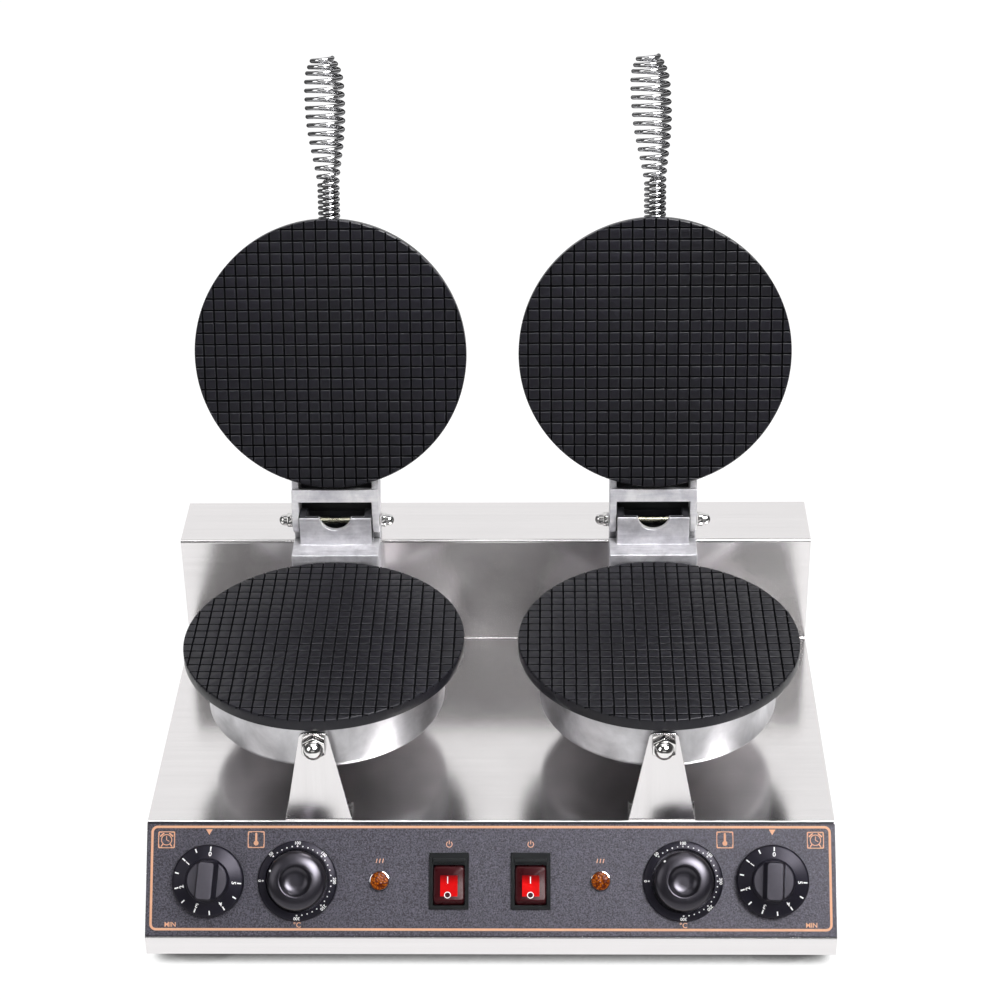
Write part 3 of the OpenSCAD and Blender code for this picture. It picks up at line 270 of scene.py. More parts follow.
def brushed_sheet(name, turned=(0, 0, 0), dark=(0.74, 0.72, 0.722), light=(0.86, 0.84, 0.843),
                  rough=(0.15, 0.22), depth=0.000004, tangent=(1, 0, 0)):
    """Brushed sheet, whose mirror images smear across the scratches."""
    f = Finish(name, Metallic=1.0, Anisotropic=0.3, Anisotropic_Rotation=0.25)
    f.feed("Tangent", xyz(f.tree, **dict(zip("XYZ", tangent))))
    grain = f.use(BRUSHED, f.mapped(turned), Along=14.0, Across=2400.0)
    worn = f.use(SMUDGES, Size=0.06)
    f.feed("Base Color", f.blend(grain["Tone"], dark, light))
    f.feed("Roughness", f.between(worn["Tone"], *rough))
    f.bump(grain["Height"], depth)
    return f.material


def cast_metal(name, dark, light, rough, size, depth, metallic=1.0):
    """Cast skin with rubbed streaks on the open faces, and a near-black painted shade in the hollows, read from
    occlusion.
    """
    f = Finish(name, Metallic=metallic)
    skin = f.use(CAST, Size=size)
    rubbed = f.use(BRUSHED, Along=40.0, Across=420.0)
    tone = math_node(f.tree, "MULTIPLY_ADD", rubbed["Tone"], 0.5, product(f.tree, skin["Tone"], 0.5))
    # Occlusion darkens the hollows and crevices to near black: painted shade.
    open_air = node(f.tree, "ShaderNodeAmbientOcclusion", {"Distance": 0.022}, samples=8).outputs["AO"]
    free_of_painted_shade = remap(f.tree, open_air, 0.12, 0.5)
    blotch = f.between(f.use(SMUDGES, Size=0.009)["Tone"], -0.25, 0.25)
    skin_tone = math_node(f.tree, "ADD", f.between(tone, -1.2, 2.2), blotch, clamp=True)
    f.feed("Base Color", f.blend(free_of_painted_shade, (0.012, 0.012, 0.016), f.blend(skin_tone, dark, light)))
    f.feed("Roughness", f.between(skin["Tone"], *rough))
    f.bump(skin["Height"], depth)
    return f.material


def coil_chrome():
    """Chrome wire whose upper and lower flanks are painted darker, a painted reflection of a dark room."""
    f = Finish("coil_chrome", Metallic=1.0, Specular_Tint=(0, 0, 0, 1))
    normal = node(f.tree, "ShaderNodeNewGeometry").outputs["Normal"]
    up = node(f.tree, "ShaderNodeSeparateXYZ", {0: normal}).outputs["Z"]
    # Flanks facing up or down painted darker: a painted reflection
    painted_dark_flanks = product(f.tree, remap(f.tree, up, 0.92, 0.66), remap(f.tree, up, -0.3, 0.15))
    worn = f.use(SMUDGES, Size=0.012)
    f.feed("Base Color", f.blend(painted_dark_flanks, (0.46, 0.46, 0.475), (0.80, 0.80, 0.81)))
    f.feed("Roughness", f.between(worn["Tone"], 0.06, 0.13))
    return f.material


def bright_plate(name, tint, rough=(0.05, 0.12)):
    """Plated metal, polished and a little handled."""
    f = Finish(name, Metallic=1.0, Specular_Tint=(0.3, 0.3, 0.3, 1))
    worn = f.use(SMUDGES, Size=0.012)
    f.feed("Base Color", f.blend(worn["Tone"], tint, [min(1, c * 1.08) for c in tint]))
    f.feed("Roughness", f.between(worn["Tone"], *rough))
    return f.material


def moulding(name, dark, light, rough, size=0.0007, depth=0.00002, **sockets):
    """A moulded or coated surface with a faint skin."""
    f = Finish(name, **sockets)
    skin = f.use(CAST, Size=size)
    f.feed("Base Color", f.blend(skin["Tone"], dark, light))
    f.feed("Roughness", f.between(skin["Tone"], *rough))
    f.bump(skin["Height"], depth)
    return f.material


def printing(name, colour):
    """Screen print, broken by fine specks."""
    f = Finish(name)
    worn = f.use(FLECKS, Size=0.0005)
    f.feed("Base Color", f.blend(worn["Dark"], colour, [c * 0.78 for c in colour]))
    f.feed("Roughness", f.between(worn["Tone"], 0.4, 0.6))
    return f.material


def fascia_film():
    """The panel's dark film with its sandy grain."""
    f = Finish("fascia_film", Specular_IOR_Level=0.55, Specular_Tint=(0.94, 0.91, 1.0, 1))
    sand = f.use(FLECKS, Size=0.0011)
    body = f.blend(sand["Grain"], (0.006, 0.0056, 0.0088), (0.062, 0.059, 0.077))
    f.feed("Base Color", f.blend(f.between(sand["Bright"], 0.0, 0.4), body, (0.19, 0.18, 0.21)))
    f.feed("Roughness", f.between(sand["Grain"], 0.36, 0.47))
    f.bump(sand["Grain"], 0.00004)
    return f.material


def plate_coating():
    """The plates' black non-stick coat."""
    f = Finish("plate_coating", Specular_IOR_Level=0.3)
    skin = f.use(CAST, Size=0.0009)
    cloud = f.use(SMUDGES, Size=0.09)
    f.feed("Base Color", f.blend(cloud["Tone"], (0.0060, 0.0058, 0.0082), (0.0092, 0.0086, 0.0135)))
    f.feed("Roughness", f.between(skin["Tone"], 0.3, 0.46))
    f.bump(skin["Height"], 0.000035)
    return f.material


def turned_aluminium(name, tilt):
    """Satin aluminium with fine turned lines round the drum."""
    f = Finish(name, Metallic=1.0)
    lines = f.use(BRUSHED, f.mapped((tilt, 0, 0), scale=(0.6, 0.6 / 160, 1)), Along=14.0, Across=1500.0)
    cloud = f.use(SMUDGES, Size=0.03)
    f.feed("Base Color", f.blend(cloud["Tone"], (0.42, 0.415, 0.43), (0.70, 0.695, 0.715)))
    f.feed("Roughness", f.between(cloud["Tone"], 0.44, 0.32))
    f.bump(lines["Height"], 0.00003)
    return f.material


def lamp_amber():
    """Amber lens with small facets inside."""
    f = Finish("lamp_amber", Specular_IOR_Level=0.16)
    facets = node(f.tree, "ShaderNodeTexVoronoi", {"Vector": f.point, "Scale": 620.0}).outputs["Distance"]
    f.feed("Base Color", f.blend(f.between(facets, -0.1, 1.6), (0.52, 0.12, 0.003), (0.09, 0.012, 0.001)))
    f.feed("Roughness", f.between(facets, 0.12, 0.3))
    f.bump(facets, 0.0004)
    return f.material


def rocker_window():
    """Lit red, darker towards its top edge."""
    f = Finish("rocker_window", Specular_IOR_Level=0.08, Emission_Strength=0.12)
    height = node(f.tree, "ShaderNodeSeparateXYZ", {0: f.point}).outputs["Z"]
    lit = remap(f.tree, height, WINDOW_TOP, WINDOW_TOP - 4.5 * MM)
    glow = f.use(SMUDGES, Size=0.012)
    red = f.blend(lit, (0.16, 0.003, 0.004), f.blend(glow["Tone"], (0.52, 0.004, 0.005), (0.72, 0.006, 0.006)))
    f.feed("Base Color", red)
    f.feed("Emission Color", red)
    f.feed("Roughness", f.between(glow["Tone"], 0.2, 0.3))
    return f.material


VIOLET = (0.92, 0.87, 1.0, 1)
STEEL_X = brushed_sheet("stainless_along_x")
STEEL_Y = brushed_sheet("stainless_along_y", (0, 0, 90), tangent=(0, 1, 0))
STEEL_UP = brushed_sheet("stainless_bracket", (0, 90, 0), rough=(0.2, 0.3), depth=0.000003, tangent=(0, 0, 1))
# Paler, rougher steel for the strip along the deck's bend: a painted highlight
STEEL_BEND_HIGHLIGHT = brushed_sheet("stainless_bend_highlight", rough=(0.5, 0.6), dark=(0.9, 0.89, 0.89), light=(1, 0.99, 0.99))
DRUM_LOW = turned_aluminium("drum_aluminium_lower", 0)
DRUM_UP = turned_aluminium("drum_aluminium_upper", math.degrees(LID_SWING))
CAST_LIGHT = cast_metal("hinge_casting", (0.42, 0.412, 0.445), (0.80, 0.79, 0.82), (0.34, 0.58),
                        0.0016, 0.00012, 0.35)
CAST_BRIGHT = cast_metal("lid_casting", (0.62, 0.61, 0.66), (1.0, 0.99, 1.0), (0.34, 0.58),
                         0.0016, 0.00012, 0.25)
# Near-black painted shade for the hollows of the castings
CAST_PAINTED_SHADE = cast_metal("casting_painted_shade", (0.006, 0.006, 0.008), (0.018, 0.018, 0.022), (0.5, 0.7),
                       0.0016, 0.0001, 0.0)
CHROME = bright_plate("bright_nickel", (0.80, 0.79, 0.78))
COIL_CHROME = coil_chrome()
ZINC = bright_plate("yellow_zinc", (0.50, 0.48, 0.37), (0.2, 0.34))
COATING = plate_coating()
# Paler lips of the grooves: partly wear, partly a painted highlight along their edges
LIP_WEAR_AND_HIGHLIGHT = moulding("lip_wear_and_highlight", (0.013, 0.013, 0.016), (0.034, 0.034, 0.040), (0.4, 0.55),
                    Specular_IOR_Level=0.4)
# Near-black painted shade for the deep faces of the grooves
GROOVE_PAINTED_SHADE = moulding("groove_painted_shade", (0.0012, 0.0012, 0.0016), (0.003, 0.003, 0.004), (0.6, 0.8),
                        Specular_IOR_Level=0.06)
FASCIA = fascia_film()
FILM_EDGE_AND_SHADOW_LINE = moulding("film_edge_and_shadow_line", (0.008, 0.0075, 0.010), (0.016, 0.015, 0.019), (0.5, 0.65),
                     Specular_IOR_Level=0.2)
COPPER_INK = printing("copper_print", (0.72, 0.39, 0.235))
WHITE_INK = printing("white_print", (0.92, 0.92, 0.92))
PHENOLIC = moulding("black_phenolic", (0.0045, 0.0042, 0.0062), (0.0075, 0.007, 0.0095), (0.28, 0.34),
                    depth=0.000004, Specular_IOR_Level=0.66, Specular_Tint=VIOLET)
PHENOLIC_SATIN = moulding("satin_phenolic", (0.0075, 0.007, 0.011), (0.012, 0.0112, 0.017), (0.3, 0.42),
                          Specular_IOR_Level=0.17, Specular_Tint=VIOLET)
GRIP_GREY = moulding("grip_grey", (0.058, 0.054, 0.067), (0.088, 0.083, 0.100), (0.45, 0.6),
                     Specular_IOR_Level=0.2)
SWITCH_BLACK = moulding("switch_black", (0.008, 0.0088, 0.0095), (0.014, 0.0152, 0.0163), (0.26, 0.4),
                        Specular_IOR_Level=0.14)
ROCKER_RED = moulding("rocker_dark_red", (0.026, 0.0026, 0.0042), (0.038, 0.004, 0.006), (0.22, 0.34),
                      depth=0.000008, Specular_IOR_Level=0.12)
ROCKER_WINDOW = rocker_window()
AMBER = lamp_amber()
RUBBER = moulding("foot_rubber", (0.012, 0.012, 0.012), (0.025, 0.025, 0.025), (0.7, 0.9), 0.0012, 0.00005)
GLAND = moulding("gland_nylon", (0.014, 0.014, 0.015), (0.024, 0.024, 0.025), (0.45, 0.6))
IVORY = moulding("terminal_ivory", (0.62, 0.58, 0.48), (0.72, 0.68, 0.58), (0.45, 0.6))
WORKS = moulding("works_housing", (0.30, 0.28, 0.25), (0.42, 0.40, 0.37), (0.45, 0.65))
SHEATH = cast_metal("heater_sheath", (0.16, 0.13, 0.11), (0.34, 0.29, 0.25), (0.4, 0.6), 0.003, 0.00008)


# Meshes

def link(obj):
    scene.collection.objects.link(obj)
    return obj


def evaluated(obj):
    deps = bpy.context.evaluated_depsgraph_get()
    mesh = bpy.data.meshes.new_from_object(obj.evaluated_get(deps), preserve_all_data_layers=True, depsgraph=deps)
    bpy.data.objects.remove(obj)
    return mesh


def smooth(mesh, degrees=32):
    mesh.polygons.foreach_set("use_smooth", [True] * len(mesh.polygons))
    if degrees:
        mesh.set_sharp_from_angle(angle=math.radians(degrees))
    return mesh


def as_mesh(name, bm):
    mesh = bpy.data.meshes.new(name)
    bm.to_mesh(mesh)
    bm.free()
    return mesh


def piece(name, mesh, body, slot, *finishes, replaces=()):
    if mesh.materials:
        mesh.materials.clear()
    for finish in finishes:
        mesh.materials.append(finish)
    mesh.name = name
    obj = link(bpy.data.objects.new(name, mesh))
    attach(obj, body)
    if replaces:
        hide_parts(*replaces)
    return obj


def solid(name, matrix, *builders, sharp=32):
    """One mesh from builders, each of which adds closed shells to a bmesh in local millimetres."""
    bm = bmesh.new()
    for build in builders:
        build(bm)
    bmesh.ops.recalc_face_normals(bm, faces=bm.faces)
    mesh = as_mesh(name, bm)
    mesh.transform(matrix)
    return smooth(mesh, sharp)


def edged(mesh, width, segments=2, degrees=30):
    """Rounds the edges of a mesh, sizes in millimetres."""
    obj = link(bpy.data.objects.new("edged", mesh))
    bevel = obj.modifiers.new("edge", "BEVEL")
    bevel.width = width * MM
    bevel.segments = segments
    bevel.limit_method = "ANGLE"
    bevel.angle_limit = math.radians(degrees)
    bevel.use_clamp_overlap = False
    bevel.harden_normals = True
    return smooth(evaluated(obj), None)


def copied(name, node_name, edge, segments=2):
    """A merged copy of a CAD node's mesh, with rounded edges."""
    bm = bmesh.new()
    bm.from_mesh(frame["nodes"][node_name].data)
    bmesh.ops.remove_doubles(bm, verts=bm.verts, dist=2e-6)
    bmesh.ops.dissolve_limit(bm, angle_limit=math.radians(0.3), verts=bm.verts, edges=bm.edges)
    return edged(smooth(as_mesh(name, bm)), edge, segments)


def round_points(points, radii, steps=6):
    """A closed outline whose corners are rounded."""
    out = []
    n = len(points)
    for i, (p, r) in enumerate(zip(points, radii)):
        p = Vector(p)
        if r <= 0:
            out.append(p)
            continue
        a = (Vector(points[i - 1]) - p).normalized()
        b = (Vector(points[(i + 1) % n]) - p).normalized()
        half = math.acos(max(-1, min(1, a.dot(b)))) / 2
        reach = r / math.tan(half)
        centre = p + (a + b).normalized() * (r / math.sin(half))
        start = p + a * reach - centre
        end = p + b * reach - centre
        sweep = start.angle_signed(end)
        for k in range(steps + 1):
            angle = -sweep * k / steps
            out.append(centre + Vector((start.x * math.cos(angle) - start.y * math.sin(angle),
                                        start.x * math.sin(angle) + start.y * math.cos(angle))))
    return out


def box_points(w, h):
    return [(-w / 2, -h / 2), (w / 2, -h / 2), (w / 2, h / 2), (-w / 2, h / 2)]


def circle_points(radius, steps):
    spots = [2 * math.pi * k / steps for k in range(steps)]
    return [(radius * math.cos(a), radius * math.sin(a)) for a in spots]


def bridge(bm, low, high, finish=0):
    """Faces between two closed rows with as many points each."""
    for i in range(len(low)):
        j = (i + 1) % len(low)
        bm.faces.new((low[i], low[j], high[j], high[i])).material_index = finish


def turned(profile, steps=128, matrix=None, finish=0):
    """A closed profile of (radius, height) pairs turned about Z. Points on the axis close its ends."""
    def build(bm):
        rings = []
        for r, z in profile:
            spots = [(0, 0)] if r < 1e-6 else circle_points(r, steps)
            rings.append([bm.verts.new((*spot, z)) for spot in spots])
        pairs = list(zip(rings, rings[1:]))
        if len(rings[0]) > 1:
            pairs.append((rings[-1], rings[0]))
        for low, high in pairs:
            if len(low) == len(high):
                if len(low) > 1:
                    bridge(bm, low, high, finish)
                continue
            for k in range(steps):
                j = (k + 1) % steps
                corner = (low[0], high[j], high[k]) if len(low) == 1 else (low[k], low[j], high[0])
                bm.faces.new(corner).material_index = finish
        if matrix:
            bmesh.ops.transform(bm, matrix=matrix, verts=[v for ring in rings for v in ring])
    return build


def slab(outline, low, high, matrix=None):
    """A flat outline given a thickness."""
    def build(bm):
        bottom, top = ([bm.verts.new((p[0], p[1], z)) for p in outline] for z in (low, high))
        bm.faces.new(bottom[::-1])
        bm.faces.new(top)
        bridge(bm, bottom, top)
        if matrix:
            bmesh.ops.transform(bm, matrix=matrix, verts=bottom + top)
    return build


def band(outer, inner, low, high, matrix):
    """The flat ring between two outlines with as many points each."""
    def build(bm):
        rows = [[bm.verts.new((p[0], p[1], z)) for p in line]
                for line, z in ((outer, low), (outer, high), (inner, high), (inner, low))]
        for a, b in zip(rows, rows[1:] + rows[:1]):
            bridge(bm, a, b)
        bmesh.ops.transform(bm, matrix=matrix, verts=[v for row in rows for v in row])
    return build


def ring_mark(radius, width, low, high, matrix, steps=32):
    return band(circle_points(radius, steps), circle_points(radius - width, steps), low, high, matrix)


def lettering(text, height, matrix, bold=0.0):
    """Plain numbers and signs as a thin solid, centred on the matrix."""
    def build(bm):
        curve = bpy.data.curves.new("letters", "FONT")
        curve.body = text
        curve.size = height / 0.72
        curve.align_x = "CENTER"
        curve.align_y = "CENTER"
        curve.extrude = INK / 2
        curve.offset = bold
        curve.resolution_u = 3
        mesh = evaluated(link(bpy.data.objects.new("letters", curve)))
        mesh.transform(matrix)
        bm.from_mesh(mesh)
        bpy.data.meshes.remove(mesh)
        bpy.data.curves.remove(curve)
    return build


# Geometry Nodes trees

def end_tree(tree, given, out, geometry):
    """Makes the instances real, sets the finish and hands out the geometry."""
    whole = node(tree, "GeometryNodeRealizeInstances", {"Geometry": geometry}).outputs[0]
    shown = node(tree, "GeometryNodeSetMaterial", {"Geometry": whole, "Material": given["Finish"]})
    tree.links.new(shown.outputs[0], out["Geometry"])
    return tree


def rotation(tree, **angles):
    return node(tree, "FunctionNodeEulerToRotation", {0: xyz(tree, **angles)}).outputs[0]


COIL_WIRE, COIL_START = 3.2, 9.2
ROOT_D, GRIP_D, TIP_D = 16.4, 29.6, 17.0
ROOT_TURNS, OPEN_TURNS, TIP_TURNS = 6.5, 13.0, 2.5
ROOT_PITCH, OPEN_PITCH, TIP_PITCH = 4.1, 6.25, 4.4
COIL_TURNS = ROOT_TURNS + OPEN_TURNS + TIP_TURNS
SWELL_END, FALL_START = 9.1, 11.05  # turns after the root: as wide as it gets, and narrower again
SWELL_TURNS = (0, 6.4, 7.2, 8.2, 9.4, 10.6, 12, 13.4, 14.8, 15.6, 17.4, 18.4, 19.4, 20.4, 21.2, COIL_TURNS)


def coil_swell(turns):
    """The spring's width, from 0 at its root to 1 at the grip's widest turns."""
    u = turns - ROOT_TURNS
    if u < 0:
        return 0.0
    if u < SWELL_END:
        return math.sin(math.pi / 2 * u / SWELL_END) ** 1.4
    if u < FALL_START:
        return 1.0
    tip = (TIP_D - ROOT_D) / (GRIP_D - ROOT_D)
    fall = (u - FALL_START) / (COIL_TURNS - ROOT_TURNS - FALL_START)
    return tip + (1 - tip) * max(0.0, math.cos(math.pi / 2 * fall)) ** 0.9


def make_coil_tree():
    """A spring of changing radius and pitch along Z."""
    tree, given, out = new_tree("spring_coil", "GeometryNodeTree", [
        ("Wire Diameter", "Float", COIL_WIRE), ("Root Diameter", "Float", ROOT_D),
        ("Grip Diameter", "Float", GRIP_D), ("Start", "Float", COIL_START),
        ("Root Turns", "Float", ROOT_TURNS), ("Root Pitch", "Float", ROOT_PITCH),
        ("Open Turns", "Float", OPEN_TURNS), ("Open Pitch", "Float", OPEN_PITCH),
        ("Tip Turns", "Float", TIP_TURNS), ("Tip Pitch", "Float", TIP_PITCH), ("Lean", "Float", 0.0),
        ("Rings", "Int", 616), ("Sides", "Int", 14), ("Finish", "Material", None)], [("Geometry", "Geometry")])

    def calc(operation, *values):
        return math_node(tree, operation, *values)

    line = node(tree, "GeometryNodeCurvePrimitiveLine", {"End": (0, 0, 1)})
    points = node(tree, "GeometryNodeResampleCurve", {"Curve": line.outputs[0], "Count": given["Rings"]})
    along = node(tree, "GeometryNodeSplineParameter").outputs["Factor"]
    before_tip = calc("ADD", given["Root Turns"], given["Open Turns"])
    turns = calc("MULTIPLY", along, calc("ADD", before_tip, given["Tip Turns"]))
    root = calc("MULTIPLY", calc("MINIMUM", turns, given["Root Turns"]), given["Root Pitch"])
    past_root = calc("MAXIMUM", calc("SUBTRACT", turns, given["Root Turns"]), 0.0)
    grip = calc("MULTIPLY", calc("MINIMUM", past_root, given["Open Turns"]), given["Open Pitch"])
    past_grip = calc("MAXIMUM", calc("SUBTRACT", turns, before_tip), 0.0)
    tip = calc("MULTIPLY", past_grip, given["Tip Pitch"])
    height = calc("ADD", calc("ADD", root, grip), calc("ADD", tip, given["Start"]))
    swell = node(tree, "ShaderNodeFloatCurve", {"Value": along})
    knots = [(t / COIL_TURNS, coil_swell(t)) for t in SWELL_TURNS]
    shape = swell.mapping.curves[0].points
    shape[0].location, shape[1].location = knots[0], knots[-1]
    for x, y in knots[1:-1]:
        shape.new(x, y)
    swell.mapping.update()
    thin = calc("SUBTRACT", given["Root Diameter"], given["Wire Diameter"])
    wide = calc("SUBTRACT", given["Grip Diameter"], given["Wire Diameter"])
    across = calc("MULTIPLY_ADD", swell.outputs[0], calc("SUBTRACT", wide, thin), thin)
    radius = calc("MULTIPLY", across, 0.5)
    angle = calc("MULTIPLY", turns, 2 * math.pi)
    lean = calc("MULTIPLY", calc("ADD", grip, tip), calc("TANGENT", given["Lean"]))
    x = calc("SUBTRACT", calc("MULTIPLY", radius, calc("COSINE", angle)), lean)
    y = calc("MULTIPLY", radius, calc("SINE", angle))
    spot = xyz(tree, X=x, Y=y, Z=height)
    wound = node(tree, "GeometryNodeSetPosition", {"Geometry": points.outputs[0], "Position": spot})
    wire_r = calc("MULTIPLY", given["Wire Diameter"], 0.5)
    section = node(tree, "GeometryNodeCurvePrimitiveCircle", {"Resolution": given["Sides"], "Radius": wire_r})
    tube = node(tree, "GeometryNodeCurveToMesh", {"Curve": wound.outputs[0], "Profile Curve": section.outputs[0],
                                                 "Fill Caps": True})
    return end_tree(tree, given, out, tube.outputs[0])


def make_ring_tree():
    """Bars or dots set round a circle on a cone, counted clockwise from the top."""
    tree, given, out = new_tree("ring_of_marks", "GeometryNodeTree", [
        ("Count", "Int", 11), ("Radius", "Float", 22.0), ("Height", "Float", 0.0), ("Tilt", "Float", 0.0),
        ("First", "Float", 0.0), ("Step", "Float", 0.4), ("Width", "Float", 0.8), ("Length", "Float", 3.0),
        ("Thick", "Float", INK), ("Dots", "Bool", False), ("Finish", "Material", None)],
        [("Geometry", "Geometry")])
    index = node(tree, "GeometryNodeInputIndex").outputs[0]
    angle = math_node(tree, "MULTIPLY_ADD", index, given["Step"], given["First"])
    x = product(tree, given["Radius"], math_node(tree, "SINE", angle))
    y = product(tree, given["Radius"], math_node(tree, "COSINE", angle))
    spot = xyz(tree, X=x, Y=y, Z=given["Height"])
    points = node(tree, "GeometryNodePoints", {"Count": given["Count"], "Position": spot})
    size = xyz(tree, X=given["Width"], Y=given["Length"], Z=given["Thick"])
    bar = node(tree, "GeometryNodeMeshCube", {"Size": size})
    dot = node(tree, "GeometryNodeMeshCylinder", {"Vertices": 14, "Radius": product(tree, given["Width"], 0.5),
                                                  "Depth": given["Thick"]})
    mark = node(tree, "GeometryNodeSwitch", {"Switch": given["Dots"], "False": bar.outputs["Mesh"],
                                             "True": dot.outputs["Mesh"]}, input_type="GEOMETRY")
    lean = rotation(tree, X=product(tree, given["Tilt"], -1.0))
    spin = rotation(tree, Z=product(tree, angle, -1.0))
    both = node(tree, "FunctionNodeRotateRotation", {0: lean, 1: spin}, rotation_space="GLOBAL")
    set_out = node(tree, "GeometryNodeInstanceOnPoints", {
        "Points": points.outputs[0], "Instance": mark.outputs[0], "Rotation": both.outputs[0]})
    return end_tree(tree, given, out, set_out.outputs[0])


def make_seat_tree():
    """One fastener, set on each point of the mesh and turned to the point's own direction."""
    tree, given, out = new_tree("seated_fasteners", "GeometryNodeTree", [
        ("Seats", "Geometry", None), ("Fastener", "Object", None), ("Spin", "Float", 0.0),
        ("Finish", "Material", None)], [("Geometry", "Geometry")])
    facing = node(tree, "GeometryNodeInputNamedAttribute", {"Name": "facing"}, data_type="FLOAT_VECTOR")
    spin = rotation(tree, Z=given["Spin"])
    aligned = node(tree, "FunctionNodeAlignRotationToVector", {"Vector": facing.outputs["Attribute"]}, axis="Z")
    both = node(tree, "FunctionNodeRotateRotation", {0: aligned.outputs[0], 1: spin}, rotation_space="LOCAL")
    item = node(tree, "GeometryNodeObjectInfo", {"Object": given["Fastener"], "As Instance": True})
    points = node(tree, "GeometryNodeMeshToPoints", {"Mesh": given["Seats"]})
    set_out = node(tree, "GeometryNodeInstanceOnPoints", {
        "Points": points.outputs[0], "Instance": item.outputs["Geometry"], "Rotation": both.outputs[0]})
    return end_tree(tree, given, out, set_out.outputs[0])


def make_groove_tree():
    """Cuts a crossed grid of grooves into the disc."""
    tree, given, out = new_tree("waffle_grooves", "GeometryNodeTree", [
        ("Disc", "Geometry", None), ("Groove", "Object", None), ("Pitch", "Float", GRID_PITCH),
        ("Count", "Int", 23), ("Finish", "Material", None)], [("Geometry", "Geometry")])
    last = math_node(tree, "SUBTRACT", given["Count"], 1.0)
    item = node(tree, "GeometryNodeObjectInfo", {"Object": given["Groove"], "As Instance": True})
    row = node(tree, "GeometryNodeMeshLine", {
        "Count": given["Count"], "Start Location": xyz(tree, Y=product(tree, last, given["Pitch"], -0.5)),
        "Offset": xyz(tree, Y=given["Pitch"])}, mode="OFFSET")
    cuts = node(tree, "GeometryNodeInstanceOnPoints", {"Points": row.outputs[0],
                                                       "Instance": item.outputs["Geometry"]})
    crossed = node(tree, "GeometryNodeTransform", {"Geometry": cuts.outputs[0],
                                                   "Rotation": Euler((0, 0, math.pi / 2))})
    plate = given["Disc"]
    for comb in (cuts, crossed):
        teeth = node(tree, "GeometryNodeRealizeInstances", {"Geometry": comb.outputs[0]})
        plate = node(tree, "GeometryNodeMeshBoolean", {"Mesh 1": plate, "Mesh 2": teeth.outputs[0]},
                     operation="DIFFERENCE", solver="MANIFOLD").outputs[0]
    return end_tree(tree, given, out, plate)


COIL_TREE = make_coil_tree()
RING_TREE = make_ring_tree()
SEAT_TREE = make_seat_tree()
GROOVE_TREE = make_groove_tree()


def grown(tree, base=None, **settings):
    """The plain mesh that a tree makes with these settings."""
    obj = link(bpy.data.objects.new("grown", base or bpy.data.meshes.new("grown")))
    modifier = obj.modifiers.new("grow", "NODES")
    modifier.node_group = tree
    wanted = {label.replace("_", " "): value for label, value in settings.items()}
    for socket in tree.interface.items_tree:
        if socket.in_out == "INPUT" and socket.name in wanted:
            modifier[socket.identifier] = wanted[socket.name]
    return evaluated(obj)


def marks(**settings):
    """White marks round a dial."""
    mesh = grown(RING_TREE, Finish=WHITE_INK, **settings)

    def build(bm):
        bm.from_mesh(mesh)
        bpy.data.meshes.remove(mesh)
    return build


def seated(name, fastener, seats, finish, spin=0.0):
    """A fastener's mesh set on (point, direction) seats, in metres."""
    base = bpy.data.meshes.new(name)
    base.from_pydata([p for p, _ in seats], [], [])
    facing = base.attributes.new("facing", "FLOAT_VECTOR", "POINT")
    for item, (_, way) in zip(facing.data, seats):
        item.vector = way
    template = link(bpy.data.objects.new("fastener", fastener))
    mesh = grown(SEAT_TREE, base, Fastener=template, Spin=spin, Finish=finish)
    bpy.data.objects.remove(template)
    if mesh.attributes.get("facing"):
        mesh.attributes.remove(mesh.attributes["facing"])
    return mesh


# Waffle plates

def groove_cutter():
    """A V groove with eased lips, longer than the plate is wide."""
    half, floor = GROOVE_W / 2, 0.12
    left = [(-half - 0.42, 0.4), (-half - 0.42, 0.0), (-half - 0.26, -0.045), (-half - 0.1, -0.13),
            (-half + 0.05, -0.28), (-floor, -GROOVE_D)]
    section = left + [(-y, z) for y, z in reversed(left)]
    bm = bmesh.new()
    slab(section, -PLATE_R - 6, PLATE_R + 6, turn(90, "Y") @ turn(90, "Z"))(bm)
    bmesh.ops.recalc_face_normals(bm, faces=bm.faces)
    return link(bpy.data.objects.new("groove", as_mesh("groove", bm)))


def waffle_plate():
    """The grooved disc, face up at Z = 0, with its grooves and their lips told apart."""
    rim = [(0, -PLATE_T), (PLATE_R - 1.4, -PLATE_T), (PLATE_R - 0.4, -PLATE_T + 0.4), (PLATE_R, -PLATE_T + 1.4),
           (PLATE_R, -1.0), (PLATE_R - 0.25, -0.38), (PLATE_R - 0.9, 0), (0, 0)]
    disc = solid("disc", Matrix.Identity(4), turned(rim, 224))
    cutter = groove_cutter()
    mesh = grown(GROOVE_TREE, disc, Groove=cutter, Finish=COATING)
    bpy.data.objects.remove(cutter)
    mesh.materials.clear()
    # Deep groove faces take the painted shade; lip faces take the paler finish, partly wear and partly painted
    # highlight
    for face in mesh.polygons:
        out = face.center.xy.length
        deep = -GROOVE_D - 0.1 < face.center.z < -0.22 and out < PLATE_R - 0.6
        lip = -0.12 <= face.center.z < -0.004 and out < PLATE_R - 1
        face.material_index = 1 if deep else 2 if lip else 0
    return mesh


plate_mesh = waffle_plate()
FLIP = Matrix.Scale(-1, 4, (0, 0, 1)) @ Matrix.Scale(-1, 4, (1, 0, 0))


def add_plate(name, body, matrix, node_name):
    mesh = plate_mesh.copy()
    mesh.transform(matrix)
    piece(name, smooth(mesh, 24), body, "plate_coating", COATING, GROOVE_PAINTED_SHADE, LIP_WEAR_AND_HIGHLIGHT, replaces=[node_name])


for word, side in SIDES:
    add_plate(f"{word}_lower_waffle_plate", "base", at_plate(side), f"{word}_lower_plate")
    add_plate(f"{word}_upper_waffle_plate", f"{word}_lid", at_lid(side) @ FLIP, f"{word}_upper_plate")


# Drums

